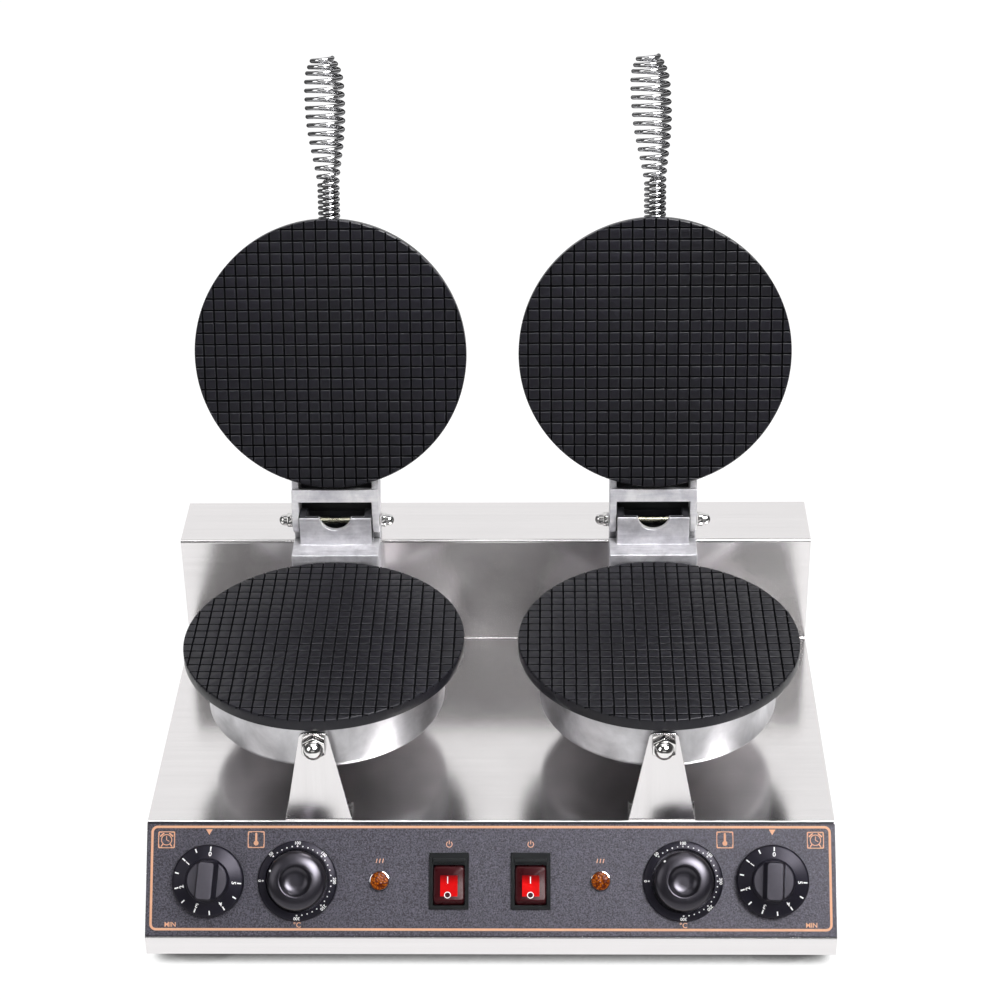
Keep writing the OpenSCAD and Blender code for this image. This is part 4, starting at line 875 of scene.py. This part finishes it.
def drum_profile():
    """The drum's wall and floor, open side at Z = 0, with eased rims."""
    inner_r, ease = DRUM_R - DRUM_WALL, 0.35
    outer = round_points([(0, DRUM_H), (DRUM_R, DRUM_H), (DRUM_R, 0), (0, 0)], (0, DRUM_ROUND, 0, 0), 10)[:-1]
    inner = round_points([(0, POST_H), (inner_r, POST_H), (inner_r, 0), (0, 0)], (0, 3, 0, 0), 6)[:-1]
    outer, inner = ([(r, h or ease) for r, h in side] for side in (outer, inner))
    return outer + [(DRUM_R - 0.3, 0), (inner_r + 0.3, 0)] + inner[::-1]


def cylinder(r, length, matrix):
    ease = 0.4
    profile = [(0, 0), (r - ease, 0), (r, ease), (r, length - ease), (r - ease, length), (0, length)]
    return turned(profile, 48, matrix)


for word, side in SIDES:
    shell = turned(drum_profile(), 192, shift(0, 0, -PLATE_T) @ turn(180, "X"))
    boss = cylinder(STUD_BOSS_R, STUD_REACH - DRUM_R + BOSS_SINK,
                    shift(0, -DRUM_R + BOSS_SINK, -STUD_DROP) @ turn(90, "X"))
    post = cylinder(POST_R, POST_H, shift(0, 0, -PLATE_T - POST_H))
    piece(f"{word}_lower_drum_shell", solid("drum", at_plate(side), shell, boss, post), "base", "drum_aluminium",
          DRUM_LOW, replaces=[f"{word}_lower_drum"])
    shell = turned(drum_profile(), 192, shift(0, 0, PLATE_T))
    boss = cylinder(HANDLE_BOSS_R, HANDLE_BOSS_L, shift(0, -DRUM_R + BOSS_SINK, HANDLE_IN) @ turn(90, "X"))
    piece(f"{word}_upper_drum_shell", solid("drum", at_lid(side), shell, boss), f"{word}_lid", "drum_aluminium",
          DRUM_UP, replaces=[f"{word}_upper_drum"])


# Handles

for word, side in SIDES:
    mesh = grown(COIL_TREE, Finish=COIL_CHROME, Lean=math.radians(COIL_LEAN[word]))
    mesh.transform(at_handle(side))
    piece(f"{word}_spring_handle", smooth(mesh, 60), f"{word}_lid", "coil_chrome", COIL_CHROME,
          replaces=[f"{word}_handle_coil"])


# Hinges and brackets

def hollowed(mesh, matrix, inside):
    """Gives the second finish, a near-black painted shade, to the faces of a casting that lie in its hollow."""
    back = matrix.inverted()
    for face in mesh.polygons:
        way = back.to_3x3() @ face.normal
        face.material_index = int(inside(back @ face.center, way.normalized()))
    return mesh


def in_knuckle(spot, way):
    """The pocket of a lower casting round the pin, but not the faces that look back."""
    return spot.y > -9.2 and abs(spot.x) < 27.3 and spot.z > -11.5 and way.y < 0.8


def under_cover(spot, way):
    """The underside and the inner back of an upper casting's cover."""
    return abs(spot.x) < 27.4 and 28.8 < spot.z < 33.8 and (way.z < -0.2 or way.y > 0.3)


# A thin near-black sheet set in each knuckle's pocket: painted shade
KNUCKLE_SHADE_SHEET = slab(box_points(43.4, 0.7), 0.5, 3.2, shift(0, 8.85, 0))
for word, side in SIDES:
    at_pin = TO_METRES @ shift(side * PLATE_X, PIN.y, PIN.z)
    mesh = hollowed(copied("casting", f"{word}_lower_hinge", 0.8, 3), at_pin, in_knuckle)
    piece(f"{word}_lower_casting", mesh, "base", "hinge_cast", CAST_LIGHT, CAST_PAINTED_SHADE,
          replaces=[f"{word}_lower_hinge"])
    piece(f"{word}_knuckle_web", solid("shade_sheet", at_pin, KNUCKLE_SHADE_SHEET), "base", "hinge_cast", CAST_PAINTED_SHADE)
    mesh = hollowed(copied("casting", f"{word}_upper_hinge", 0.8, 3), at_lid(side), under_cover)
    piece(f"{word}_upper_casting", mesh, f"{word}_lid", "hinge_cast", CAST_BRIGHT, CAST_PAINTED_SHADE,
          replaces=[f"{word}_upper_hinge"])
    mesh = copied("bracket", f"{word}_front_bracket", 0.35)
    piece(f"{word}_bracket", mesh, "base", "stainless_sheet", STEEL_UP, replaces=[f"{word}_front_bracket"])


def domed_nut(corner_r, height, dome_r, rise):
    """A domed hexagon nut, standing on Z = 0, in metres."""
    flats = solid("nut", TO_METRES, slab(circle_points(corner_r, 6), 0, height), sharp=25)
    flats = edged(flats, corner_r * 0.07, 3, 40)
    top = height + rise
    arc = [math.pi / 2 * k / 12 for k in range(1, 12)]
    profile = [(0, height - 1), (dome_r, height - 1), (dome_r, top)]
    profile += [(dome_r * math.cos(a), top + dome_r * math.sin(a)) for a in arc] + [(0, top + dome_r)]
    bm = bmesh.new()
    turned(profile, 40)(bm)
    bmesh.ops.recalc_face_normals(bm, faces=bm.faces)
    bmesh.ops.transform(bm, matrix=TO_METRES, verts=bm.verts)
    bm.from_mesh(flats)
    return smooth(as_mesh("nut", bm), 30)


PIN_NUT_X = 33.15                  # a pin's nut, from the station's middle
STUD_NUT_Y, STUD_NUT_Z = 1.5, 65.5  # a drum stud's nut, from the deck's front edge
pin_seats = [(Vector((side * PLATE_X + end * PIN_NUT_X, PIN.y, PIN.z)) * MM, (end, 0, 0))
             for _, side in SIDES for end in (-1, 1)]
stud_seats = [(at_deck(side * PLATE_X, STUD_NUT_Y, STUD_NUT_Z).translation, (0, -1, 0)) for _, side in SIDES]
for name, nut, seats, node_name in (("small_domed_nuts", (5.3, 4.3, 4.0, 2.1), pin_seats, "acorn_nuts"),
                                    ("stud_domed_nuts", (9.24, 5.5, 6.9, 0.3), stud_seats, "drum_acorn_nuts")):
    mesh = seated("nuts", domed_nut(*nut), seats, CHROME, math.pi / 6)
    piece(name, smooth(mesh, 30), "base", "plated_fasteners", CHROME, replaces=[node_name])
piece("bracket_foot_bolts", copied("bolts", "bracket_screws", 0.35), "base", "plated_fasteners", CHROME,
      replaces=["bracket_screws"])


# Control panel: timers

SKIRT_R, SKIRT_Z = 15.5, 7.2        # where the numbered skirt starts to fall
SKIRT_RUN, SKIRT_FALL = 7.9, 1.6
SKIRT_TILT = math.atan2(SKIRT_FALL, SKIRT_RUN)
TICK_R, TIMER_NUMBER_R, TIMER_STEP = 22.1, 18.3, 54
SKIRT = [(0, 0), (24.6, 0), (25, 0.4), (25, 4.2), (24.5, 5.0), (23.4, 5.6), (15.9, 7.12), (15.3, 7.5),
         (14.65, 9.6), (14.3, 10.25), (13.5, 10.6), (0, 10.6)]
TIMER_FACE = [(0, 10.4), (13.35, 10.4), (13.35, 10.66), (13.15, 10.7), (0, 10.7)]
GRIP_ROWS = ((10.2, 7.6, 13.45), (18.7, 5.85, 13.4), (19.8, 5.6, 13.1), (20.4, 5.3, 12.5), (20.6, 4.8, 11.9))


def on_skirt(angle, r):
    """A frame on a timer's sloping skirt, its Y pointing outwards, at degrees anticlockwise from the top."""
    z = KNOB_Z + SKIRT_Z - (r - SKIRT_R) * SKIRT_FALL / SKIRT_RUN
    return turn(angle, "Z") @ shift(0, r, z) @ Matrix.Rotation(-SKIRT_TILT, 4, "X")


def above(lift, profile):
    return [(r, lift + z) for r, z in profile]


def grip_bar(bm):
    """The timer's bar: sides that lean inwards, round ends, a flat pale top."""
    rows = []
    for z, w, l in GRIP_ROWS:
        outline = round_points(box_points(2 * w, 2 * l), [2.2] * 4, 5)
        rows.append([bm.verts.new((p.x, p.y, KNOB_Z + z)) for p in outline])
    for low, high in zip(rows, rows[1:]):
        bridge(bm, low, high, int(high is rows[-1]))
    bm.faces.new(rows[0][::-1])
    bm.faces.new(rows[-1]).material_index = 1


for word, side in SIDES:
    spot = at_panel(side * TIMER_X) @ turn(-TIMER_TURN[word], "Z")
    body = f"{word}_timer_turn"
    face = turned(above(KNOB_Z, TIMER_FACE), 96, finish=1)
    spindle = cylinder(SPINDLE_R, 18, shift(0, 0, -16))
    mesh = solid("knob", spot, turned(above(KNOB_Z, SKIRT)), face, grip_bar, spindle, sharp=40)
    piece(f"{word}_timer_handwheel", mesh, body, "knob_plastic", PHENOLIC_SATIN, GRIP_GREY,
          replaces=[f"{word}_timer_knob"])
    ticks = marks(Count=11, Radius=TICK_R, Height=on_skirt(0, TICK_R).translation.z, Tilt=SKIRT_TILT, First=0.0,
                  Step=-math.radians(TIMER_STEP / 2), Width=0.9, Length=2.9)
    numbers = [lettering(str(k), 3.2, on_skirt(TIMER_STEP * k, TIMER_NUMBER_R), 0.09) for k in range(6)]
    piece(f"{word}_timer_scale", solid("ink", spot, ticks, *numbers), body, "knob_plastic", WHITE_INK)


# Control panel: temperature

RING_R, RING_Z = 22.3, 4.2          # where the scale ring starts to fall
RING_RUN, RING_FALL = 4.45, 0.8
RING_TILT = math.atan2(RING_FALL, RING_RUN)
DOT_R, HEAT_NUMBER_R, HEAT_STEP = 23.8, 25.9, 45
RING = [(21.7, 0), (27.5, 0), (27.75, 0.3), (27.75, 1.4), (27.3, 2.9), (26.75, 3.4), (22.5, 4.16), (22.1, 4.15),
        (21.7, 3.6)]
DOME_R, DISH_FLOOR, DISH_RISE = 20.3, 12.0, 4.1
ROLL, ROLL_R, ROLL_Z = 4.6, 15.7, 10.6  # the wall's rounding into the shoulder, and its centre
POINTER_R, POINTER_LEAN = 0.85, 44


def on_ring(angle, r):
    """A frame on the fixed scale ring, at degrees clockwise from the top."""
    z = FASCIA_T + RING_Z - (r - RING_R) * RING_FALL / RING_RUN
    return turn(-angle, "Z") @ shift(0, r, z) @ Matrix.Rotation(-RING_TILT, 4, "X")


def on_roll(degrees):
    """A point of the shoulder's rounding, by its lean from upright."""
    lean = math.radians(degrees)
    return ROLL_R + ROLL * math.sin(lean), ROLL_Z + ROLL * math.cos(lean)


def dome_profile():
    """A wall that rolls over into a gently falling shoulder, a soft crest and a dish."""
    out = [(0, 0), (DOME_R - 0.4, 0), (DOME_R, 0.4), (DOME_R, ROLL_Z)]
    out += [on_roll(90 - 60 * k / 8) for k in range(1, 9)]
    for k in range(1, 17):
        lean = math.radians(30 - 27 * (k - 0.5) / 16)
        x, z = out[-1]
        out.append((x - 0.4, z + 0.4 * math.tan(lean)))
    x, crest = out[-1]
    out += [(x - 0.35, crest - 0.03), (x - 0.75, crest - 0.2)]
    dish = [10.4 * (1 - k / 14) for k in range(15)]
    return out + [(x, DISH_FLOOR + DISH_RISE * (x / 11) ** 4) for x in dish]


for word, side in SIDES:
    spot = at_panel(side * DIAL_X)
    body = f"{word}_temperature_turn"
    mesh = solid("ring", spot, turned(above(FASCIA_T, RING), 144), sharp=40)
    piece(f"{word}_scale_ring", mesh, "base", "knob_plastic", PHENOLIC_SATIN,
          replaces=[f"{word}_temperature_dial"])
    dots = [marks(Count=count, Radius=DOT_R, Height=on_ring(0, DOT_R).translation.z, Tilt=RING_TILT, Dots=True,
                  First=math.radians(first), Step=math.radians(step), Width=wide, Length=wide)
            for count, first, step, wide in ((26, -45, 9, 0.95), (7, -90, HEAT_STEP, 1.2))]
    numbers = [lettering(str(50 * k), 2.2, on_ring(HEAT_STEP * k - 90, HEAT_NUMBER_R), 0.06) for k in range(7)]
    piece(f"{word}_scale_print", solid("ink", spot, *dots, *numbers), "base", "knob_plastic", WHITE_INK)
    spindle = cylinder(SPINDLE_R, 16, shift(0, 0, -14))
    mesh = solid("knob", spot, turned(above(KNOB_Z, dome_profile()), 144), spindle, sharp=50)
    piece(f"{word}_temperature_handwheel", mesh, body, "knob_plastic", PHENOLIC,
          replaces=[f"{word}_temperature_knob"])
    out_r, up_z = on_roll(POINTER_LEAN)
    place = turn(POINTER_TURN[word], "Z") @ shift(0, out_r, KNOB_Z + up_z) @ turn(-POINTER_LEAN, "X")
    pointer = slab(circle_points(POINTER_R, 16), -INK, INK, place)
    piece(f"{word}_pointer_dot", solid("dot", spot, pointer), body, "knob_plastic", WHITE_INK)


# Control panel: lamps and switches

LENS = [(0, 0), (6.2, 0), (6.2, 2.2), (5.7, 2.75), (5.2, 3.0), (4.2, 3.3), (3.1, 3.6), (1.6, 3.78), (0, 3.8)]
BEZEL = [(5.5, -3), (5.6, 0), (6.9, 0), (7.0, 0.3), (6.95, 1.4), (6.75, 1.9), (6.45, 2.0), (6.3, 1.8), (6.3, 1.0),
         (5.5, 1.0)]
lenses = [turned(LENS, 48, shift(side * LAMP_X, 0, FASCIA_T + 1)) for _, side in SIDES]
bezels = [turned(BEZEL, 64, shift(side * LAMP_X, 0, FASCIA_T)) for _, side in SIDES]
piece("lamp_caps", solid("lens", at_panel(0), *lenses, sharp=20), "base", "lens_amber", AMBER,
      replaces=["lamp_lenses"])
piece("lamp_rims", solid("rim", at_panel(0), *bezels), "base", "plated_fasteners", CHROME,
      replaces=["lamp_bezels"])

# rows of the rocker from below: height (None follows its two faces), inset, and how far under the faces
ROCKER_ROWS = ((-8, 0, 0), (-3, 0, 0), (2, 0, 0), (5, 0, 0),
               (None, 0.15, 0.75), (None, 0.55, 0.25), (None, 1.3, 0))


def rocker_top(y):
    return 5.6 + abs(y) * math.tan(math.radians(ROCKER_TURN / 2))


def rocker_body(bm):
    """The drum-sided rocker in its own frame: two faces that lean to the middle, round at the corners."""
    rows = []
    for z, inset, sink in ROCKER_ROWS:
        level = ROCKER_LEVEL if z is None else z
        w = ROCKER_W / 2 - inset
        l = math.sqrt(ROCKER_R ** 2 - level ** 2) - inset
        corner = 2.6 - inset * 0.5
        outline = round_points([(-w, -l), (w, -l), (w, 0), (w, l), (-w, l), (-w, 0)],
                               [corner, corner, 0, corner, corner, 0], 6)
        rows.append([bm.verts.new((p.x, p.y, rocker_top(p.y) - sink if z is None else z)) for p in outline])
    for low, high in zip(rows, rows[1:]):
        bridge(bm, low, high)
    bm.faces.new(rows[0][::-1])
    top = rows[-1]
    a, b = (i for i, v in enumerate(top) if abs(v.co.y) < 1e-6)
    bm.faces.new(top[a:b + 1])
    bm.faces.new(top[b:] + top[:a + 1])


def window_sheet(bm):
    """The bright window, a thin sheet bent over the rocker's two faces."""
    ys = [WINDOW_LOW + (WINDOW_HIGH - WINDOW_LOW) * k / 12 for k in range(13)]
    ys[min(range(13), key=lambda k: abs(ys[k]))] = 0.0
    rows = []
    for y in ys:
        under, over = rocker_top(y) - 0.05, rocker_top(y) + 0.06
        rows.append([bm.verts.new(p) for p in ((-6, y, under), (6, y, under), (6, y, over), (-6, y, over))])
    for low, high in zip(rows, rows[1:]):
        bridge(bm, low, high)
    bm.faces.new(rows[0][::-1])
    bm.faces.new(rows[-1])


LINE_MARK_Y, RING_MARK_Y = 2.8, -7.6  # the rocker's two marks, from its middle
MARK_LIFT = 0.06
for word, side in SIDES:
    pivot = Vector(joints[f"{word}_rocker_pivot"]["pos_m"]) / MM
    spot = TO_METRES @ Matrix.Translation(pivot) @ Matrix.Rotation(SLOPE, 4, "X") @ turn(-ROCKER_TURN / 2, "X")
    tip = f"{word}_rocker_tip"
    mesh = solid("rocker", spot, rocker_body, sharp=50)
    piece(f"{word}_rocker_cap", mesh, tip, "rocker_red", ROCKER_RED, replaces=[f"{word}_rocker"])
    piece(f"{word}_rocker_window", solid("window", spot, window_sheet), tip, "rocker_red", ROCKER_WINDOW)
    line_up = shift(MARK_X[word], LINE_MARK_Y, rocker_top(LINE_MARK_Y) + MARK_LIFT) @ turn(ROCKER_TURN / 2, "X")
    ring_low = shift(MARK_X[word], RING_MARK_Y, rocker_top(RING_MARK_Y) + MARK_LIFT) @ turn(-ROCKER_TURN / 2, "X")
    mesh = solid("ink", spot, slab(box_points(0.62, 4.8), -INK, INK, line_up),
                 ring_mark(2.35, 0.55, -INK, INK, ring_low))
    piece(f"{word}_rocker_marks", mesh, tip, "rocker_red", WHITE_INK)
    inside = turned([(0, -INK), (1.75, -INK), (1.75, INK / 2), (0, INK / 2)], 32, ring_low)
    piece(f"{word}_rocker_ring", solid("ink", spot, inside), tip, "rocker_red", ROCKER_RED)
    piece(f"{word}_switch_surround", copied("surround", f"{word}_switch_frame", 0.45, 3), "base", "knob_plastic",
          SWITCH_BLACK, replaces=[f"{word}_switch_frame"])


# Control panel: printed lines and signs, each placed by x and by its way down the slope from the deck's edge

def up_slope(down):
    return CONTROL_T - down


def rectangle_line(w, h, r, thick, matrix):
    outer = round_points(box_points(w, h), [r] * 4, 6)
    inner = round_points(box_points(w - 2 * thick, h - 2 * thick), [max(r - thick, 0.2)] * 4, 6)
    return band(outer, inner, FASCIA_T - INK, FASCIA_T + INK, matrix)


def printed_ring(radius, width, x, y):
    return ring_mark(radius, width, FASCIA_T - INK, FASCIA_T + INK, shift(x, y, 0))


def flat(points, x, down):
    return slab(points, FASCIA_T - INK, FASCIA_T + INK, shift(x, up_slope(down), 0))


def strokes(x, down, *lines):
    """Straight printed strokes, each (x0, y0, x1, y1, thickness) from the sign's middle."""
    parts = []
    for x0, y0, x1, y1, thick in lines:
        along = Vector((x1 - x0, y1 - y0)).normalized() * thick / 2
        side = Vector((-along.y, along.x))
        a, b = Vector((x0, y0)) - along, Vector((x1, y1)) + along
        parts.append(flat([a - side, b - side, b + side, a + side], x, down))
    return parts


def sign_frame(x, down):
    """The thin square round a sign, a little stronger at its corners."""
    parts = [rectangle_line(11.8, 11.6, 0.9, 0.6, shift(x, up_slope(down), 0))]
    for sx in (-1, 1):
        for sy in (-1, 1):
            corner = (sx * 5.3, sy * 5.2)
            parts += strokes(x, down, (*corner, sx * 3.4, sy * 5.2, 0.6), (*corner, sx * 5.3, sy * 3.4, 0.6))
    return parts


def clock_sign(x, down):
    parts = [printed_ring(3.9, 0.6, x, up_slope(down))]
    parts += strokes(x, down, (0, 0, 0, 2.4, 0.5), (0, 0, 1.7, -0.9, 0.5))
    for s in (-1, 1):
        parts += strokes(x, down, (s * 2.2, 4.3, s * 4.2, 2.6, 1.0), (s * 2.6, -3.1, s * 3.5, -4.2, 0.8))
    return parts


def heat_sign(x, down):
    parts = [printed_ring(1.7, 1.68, x, up_slope(down) - 2.4), printed_ring(0.75, 0.74, x, up_slope(down) + 4.0)]
    return parts + strokes(x, down, (0, -2.0, 0, 3.3, 1.5))


def wave_sign(x, down):
    """Three short upright strokes for warmth."""
    return strokes(x, down, *((d - 0.25, -1.2, d + 0.25, 1.2, 0.55) for d in (-2.2, 0, 2.2)))


def power_sign(x, down):
    """A ring open at the top, with a line in the gap."""
    spots = [math.radians(90 + 40 + 28 * k) for k in range(11)]
    ends = [(2.0 * math.cos(a), 2.0 * math.sin(a)) for a in spots]
    return strokes(x, down, *((*a, *b, 0.55) for a, b in zip(ends, ends[1:])), (0, 0.3, 0, 2.4, 0.55))


printed = [rectangle_line(474, 72.2, 4.5, 1.7, shift(0, up_slope(38.9), 0))]
for _, side in SIDES:
    clock_at, heat_at = (side * 226.2, 12.6), (side * 163.4, 12.4)
    printed.append(flat([(0, -2.2), (2.3, 1.7), (-2.3, 1.7)], side * 196.3, 7.0))
    printed += sign_frame(*clock_at) + clock_sign(*clock_at) + sign_frame(*heat_at) + heat_sign(*heat_at)
    printed.append(lettering("MIN", 3.3, shift(side * 222.5, up_slope(71), FASCIA_T), 0.06))
    printed.append(lettering("°C", 3.6, shift(side * DIAL_X, up_slope(71.3), FASCIA_T), 0.05))
    printed += wave_sign(side * LAMP_X, 27.0) + power_sign(side * SWITCH_X, 15.6)
piece("fascia_print", solid("print", at_panel(0), *printed), "base", "fascia_print", COPPER_INK)


# The deck's front bend with a paler strip as a painted highlight, and the film's dark edges: folded over the
# bend, and a painted shadow line as a seam below

BEND_R, FILM_W = 2.2, 479.2


def bend_strip(first, last, out):
    """A thin strip on the bend, between two shares of its turn."""
    middle = BEND_R * math.tan(SLOPE / 2)
    arc = [math.pi / 2 + SLOPE * (first + (last - first) * k / 8) for k in range(9)]
    loop = [(middle + r * math.cos(a), -BEND_R + r * math.sin(a))
            for r, way in ((BEND_R + out, arc), (BEND_R - 0.05, arc[::-1])) for a in way]
    return solid("edge", at_deck(0, 0, 0), slab(loop, -FILM_W / 2, FILM_W / 2, turn(90, "Y") @ turn(90, "Z")))


piece("fascia_fold", bend_strip(0.45, 1, 0.15), "base", "fascia_print", FILM_EDGE_AND_SHADOW_LINE)
piece("deck_bend", bend_strip(-0.1, 0.45, 0.08), "base", "stainless_sheet", STEEL_BEND_HIGHLIGHT)
brim = slab(box_points(FILM_W, 1.0), 0, FASCIA_T + INK, shift(0, up_slope(1.25), 0))
# The 0.8 mm dark line along the film's foot is a painted shadow line; the brim covers the film's top edge
mesh = solid("edge", at_panel(0), flat(box_points(FILM_W, 0.8), 0, 78.85), brim)
piece("fascia_seam", mesh, "base", "fascia_print", FILM_EDGE_AND_SHADOW_LINE)


# Materials of the CAD nodes that stay

KEPT = {
    STEEL_X: ("body_shell", "rear_panel", "bottom_plate"),
    STEEL_Y: ("left_side_panel", "right_side_panel"),
    FASCIA: ("control_fascia",), RUBBER: ("rubber_feet",), IVORY: ("terminal_block",),
    GLAND: ("cable_gland", "lead_sleeves"),
    ZINC: ("left_hinge_pin", "right_hinge_pin"),
    WORKS: ("left_thermostat", "right_thermostat", "left_timer", "right_timer"),
    SHEATH: ("left_lower_ring", "right_lower_ring", "left_upper_ring", "right_upper_ring"),
    CHROME: ("foot_screws", "case_screws", "drum_studs", "lower_plate_screws", "hinge_bolts", "left_upper_screws",
             "right_upper_screws", "left_handle_stud", "right_handle_stud"),
}
for finish, names in KEPT.items():
    for name in names:
        frame["nodes"][name].data.materials.clear()
        frame["nodes"][name].data.materials.append(finish)


# Studio

def ramp(tree, value, low, high):
    """A soft step of a value, 0 at low and 1 at high."""
    return remap(tree, value, low, high, curve="SMOOTHSTEP")


def studio_world():
    """An even soft fill; mirrors see a white wall, a soft box and two bands of light in a dim room."""
    world = bpy.data.worlds.new("studio")
    scene.world = world
    world.use_nodes = True
    tree = world.node_tree
    tree.nodes.clear()
    given = node(tree, "ShaderNodeTexCoord").outputs["Generated"]
    way = node(tree, "ShaderNodeSeparateXYZ", {0: given}).outputs
    aside = math_node(tree, "ABSOLUTE", way["X"])
    wall = product(tree, ramp(tree, way["Y"], 0.15, 0.4), ramp(tree, aside, 0.75, 0.5),
                   ramp(tree, way["Z"], 0.86, 0.72))
    window = product(tree, ramp(tree, way["Z"], 0.22, 0.28), ramp(tree, way["Z"], 0.45, 0.38),
                     ramp(tree, way["Y"], -0.5, -0.7), ramp(tree, aside, 0.4, 0.3), 0.8)
    front = product(tree, ramp(tree, way["Z"], 0.572, 0.588), ramp(tree, way["Z"], 0.62, 0.605),
                    ramp(tree, way["Y"], -0.3, -0.5), ramp(tree, aside, 0.25, 0.12))
    facing = node(tree, "ShaderNodeVectorMath", {0: given, 1: (0.42, -0.42, 0.805)}, operation="DOT_PRODUCT")
    softbox = product(tree, ramp(tree, facing.outputs["Value"], 0.92, 0.98), ramp(tree, way["Z"], 0.64, 0.74),
                      31.0)
    seen = 0.06
    for light in (wall, window, softbox, front):
        seen = math_node(tree, "MAXIMUM", seen, light)
    path = node(tree, "ShaderNodeLightPath").outputs
    mirror = math_node(tree, "MAXIMUM", path["Is Glossy Ray"], path["Is Transmission Ray"])
    level = node(tree, "ShaderNodeMix", {0: mirror, 2: 0.42, 3: seen}).outputs[0]
    level = math_node(tree, "MAXIMUM", level, path["Is Camera Ray"])
    back = node(tree, "ShaderNodeBackground", {"Color": level, "Strength": 1.0})
    node(tree, "ShaderNodeOutputWorld", {"Surface": back.outputs[0]})


def studio_floor():
    """A white sweep with a painted shadow close under the cabinet, its glow darkened by occlusion; mirrors see it
    only near the object.
    """
    mesh = bpy.data.meshes.new("floor")
    mesh.from_pydata([(-6, -6, 0), (6, -6, 0), (6, 8, 0), (-6, 8, 0)], [], [(0, 1, 2, 3)])
    floor = link(bpy.data.objects.new("floor", mesh))
    material = bpy.data.materials.new("pale_floor")
    material.use_nodes = True
    tree = material.node_tree
    tree.nodes.clear()
    path = node(tree, "ShaderNodeLightPath").outputs
    spot = node(tree, "ShaderNodeSeparateXYZ", {0: node(tree, "ShaderNodeTexCoord").outputs["Object"]}).outputs
    near = ramp(tree, math_node(tree, "ABSOLUTE", spot["X"]), 0.95, 0.5)
    # Occlusion darkens the floor's glow: a painted shadow
    open_sky = node(tree, "ShaderNodeAmbientOcclusion", {"Distance": 0.022}, samples=16).outputs["AO"]
    shade = remap(tree, open_sky, 0.29, 0.54, to_low=0.05)
    mirror = math_node(tree, "MAXIMUM", path["Is Glossy Ray"], path["Is Transmission Ray"])
    reach = node(tree, "ShaderNodeMix", {0: mirror, 2: 1.0, 3: near}).outputs[0]
    bright = product(tree, shade, math_node(tree, "MAXIMUM", reach, 0.1))
    lit = node(tree, "ShaderNodeBsdfDiffuse", {"Color": (0.86, 0.86, 0.865, 1)})
    glow = node(tree, "ShaderNodeEmission", {"Color": bright, "Strength": 1.1})
    seen = math_node(tree, "MAXIMUM", path["Is Camera Ray"], mirror)
    share = product(tree, seen, 0.88)
    mixed = node(tree, "ShaderNodeMixShader", {0: share, 1: lit.outputs[0], 2: glow.outputs[0]})
    node(tree, "ShaderNodeOutputMaterial", {"Surface": mixed.outputs[0]})
    mesh.materials.append(material)


def soft_lamp(name, place, aim, size, power, mirrored=True):
    lamp = bpy.data.lights.new(name, "AREA")
    lamp.shape = "RECTANGLE"
    lamp.size, lamp.size_y = size
    lamp.energy = power
    obj = link(bpy.data.objects.new(name, lamp))
    obj.visible_glossy = mirrored
    obj.location = place
    obj.rotation_euler = (Vector(aim) - Vector(place)).to_track_quat("-Z", "Y").to_euler()


PITCH, YAW, ROLL_ANGLE = (math.radians(a) for a in (30.92, 1.54, -0.94))
CAMERA_FROM_DECK = Vector((45.74, -1305.83, 1044.25))
FOCAL_MM = 85.48


def photo_camera():
    """The camera fitted to the photograph: a long lens, a little above and nearly straight on."""
    around = Matrix.Rotation(YAW, 3, "Z")
    right = around @ Vector((1, 0, 0))
    ahead = around @ Vector((0, math.cos(PITCH), -math.sin(PITCH)))
    up = around @ Vector((0, math.sin(PITCH), math.cos(PITCH)))
    rolled_right = math.cos(ROLL_ANGLE) * right + math.sin(ROLL_ANGLE) * up
    rolled_up = -math.sin(ROLL_ANGLE) * right + math.cos(ROLL_ANGLE) * up
    data = bpy.data.cameras.new("photo_camera")
    data.sensor_width = 36.0
    data.lens = FOCAL_MM
    data.clip_end = 50.0
    obj = link(bpy.data.objects.new("photo_camera", data))
    place = Matrix((rolled_right, rolled_up, -ahead)).transposed().to_4x4()
    place.translation = (DECK + CAMERA_FROM_DECK) * MM
    obj.matrix_world = place
    scene.camera = obj


studio_world()
studio_floor()
soft_lamp("key_box", (1.2, -1.1, 1.8), (0, 0, 0.2), (0.9, 0.9), 27, mirrored=False)
soft_lamp("fill_box", (-1.5, -0.9, 1.2), (0, 0, 0.2), (1.0, 1.2), 8)
soft_lamp("top_box", (0.0, 0.1, 2.2), (0, 0, 0.1), (1.8, 1.4), 14)
photo_camera()
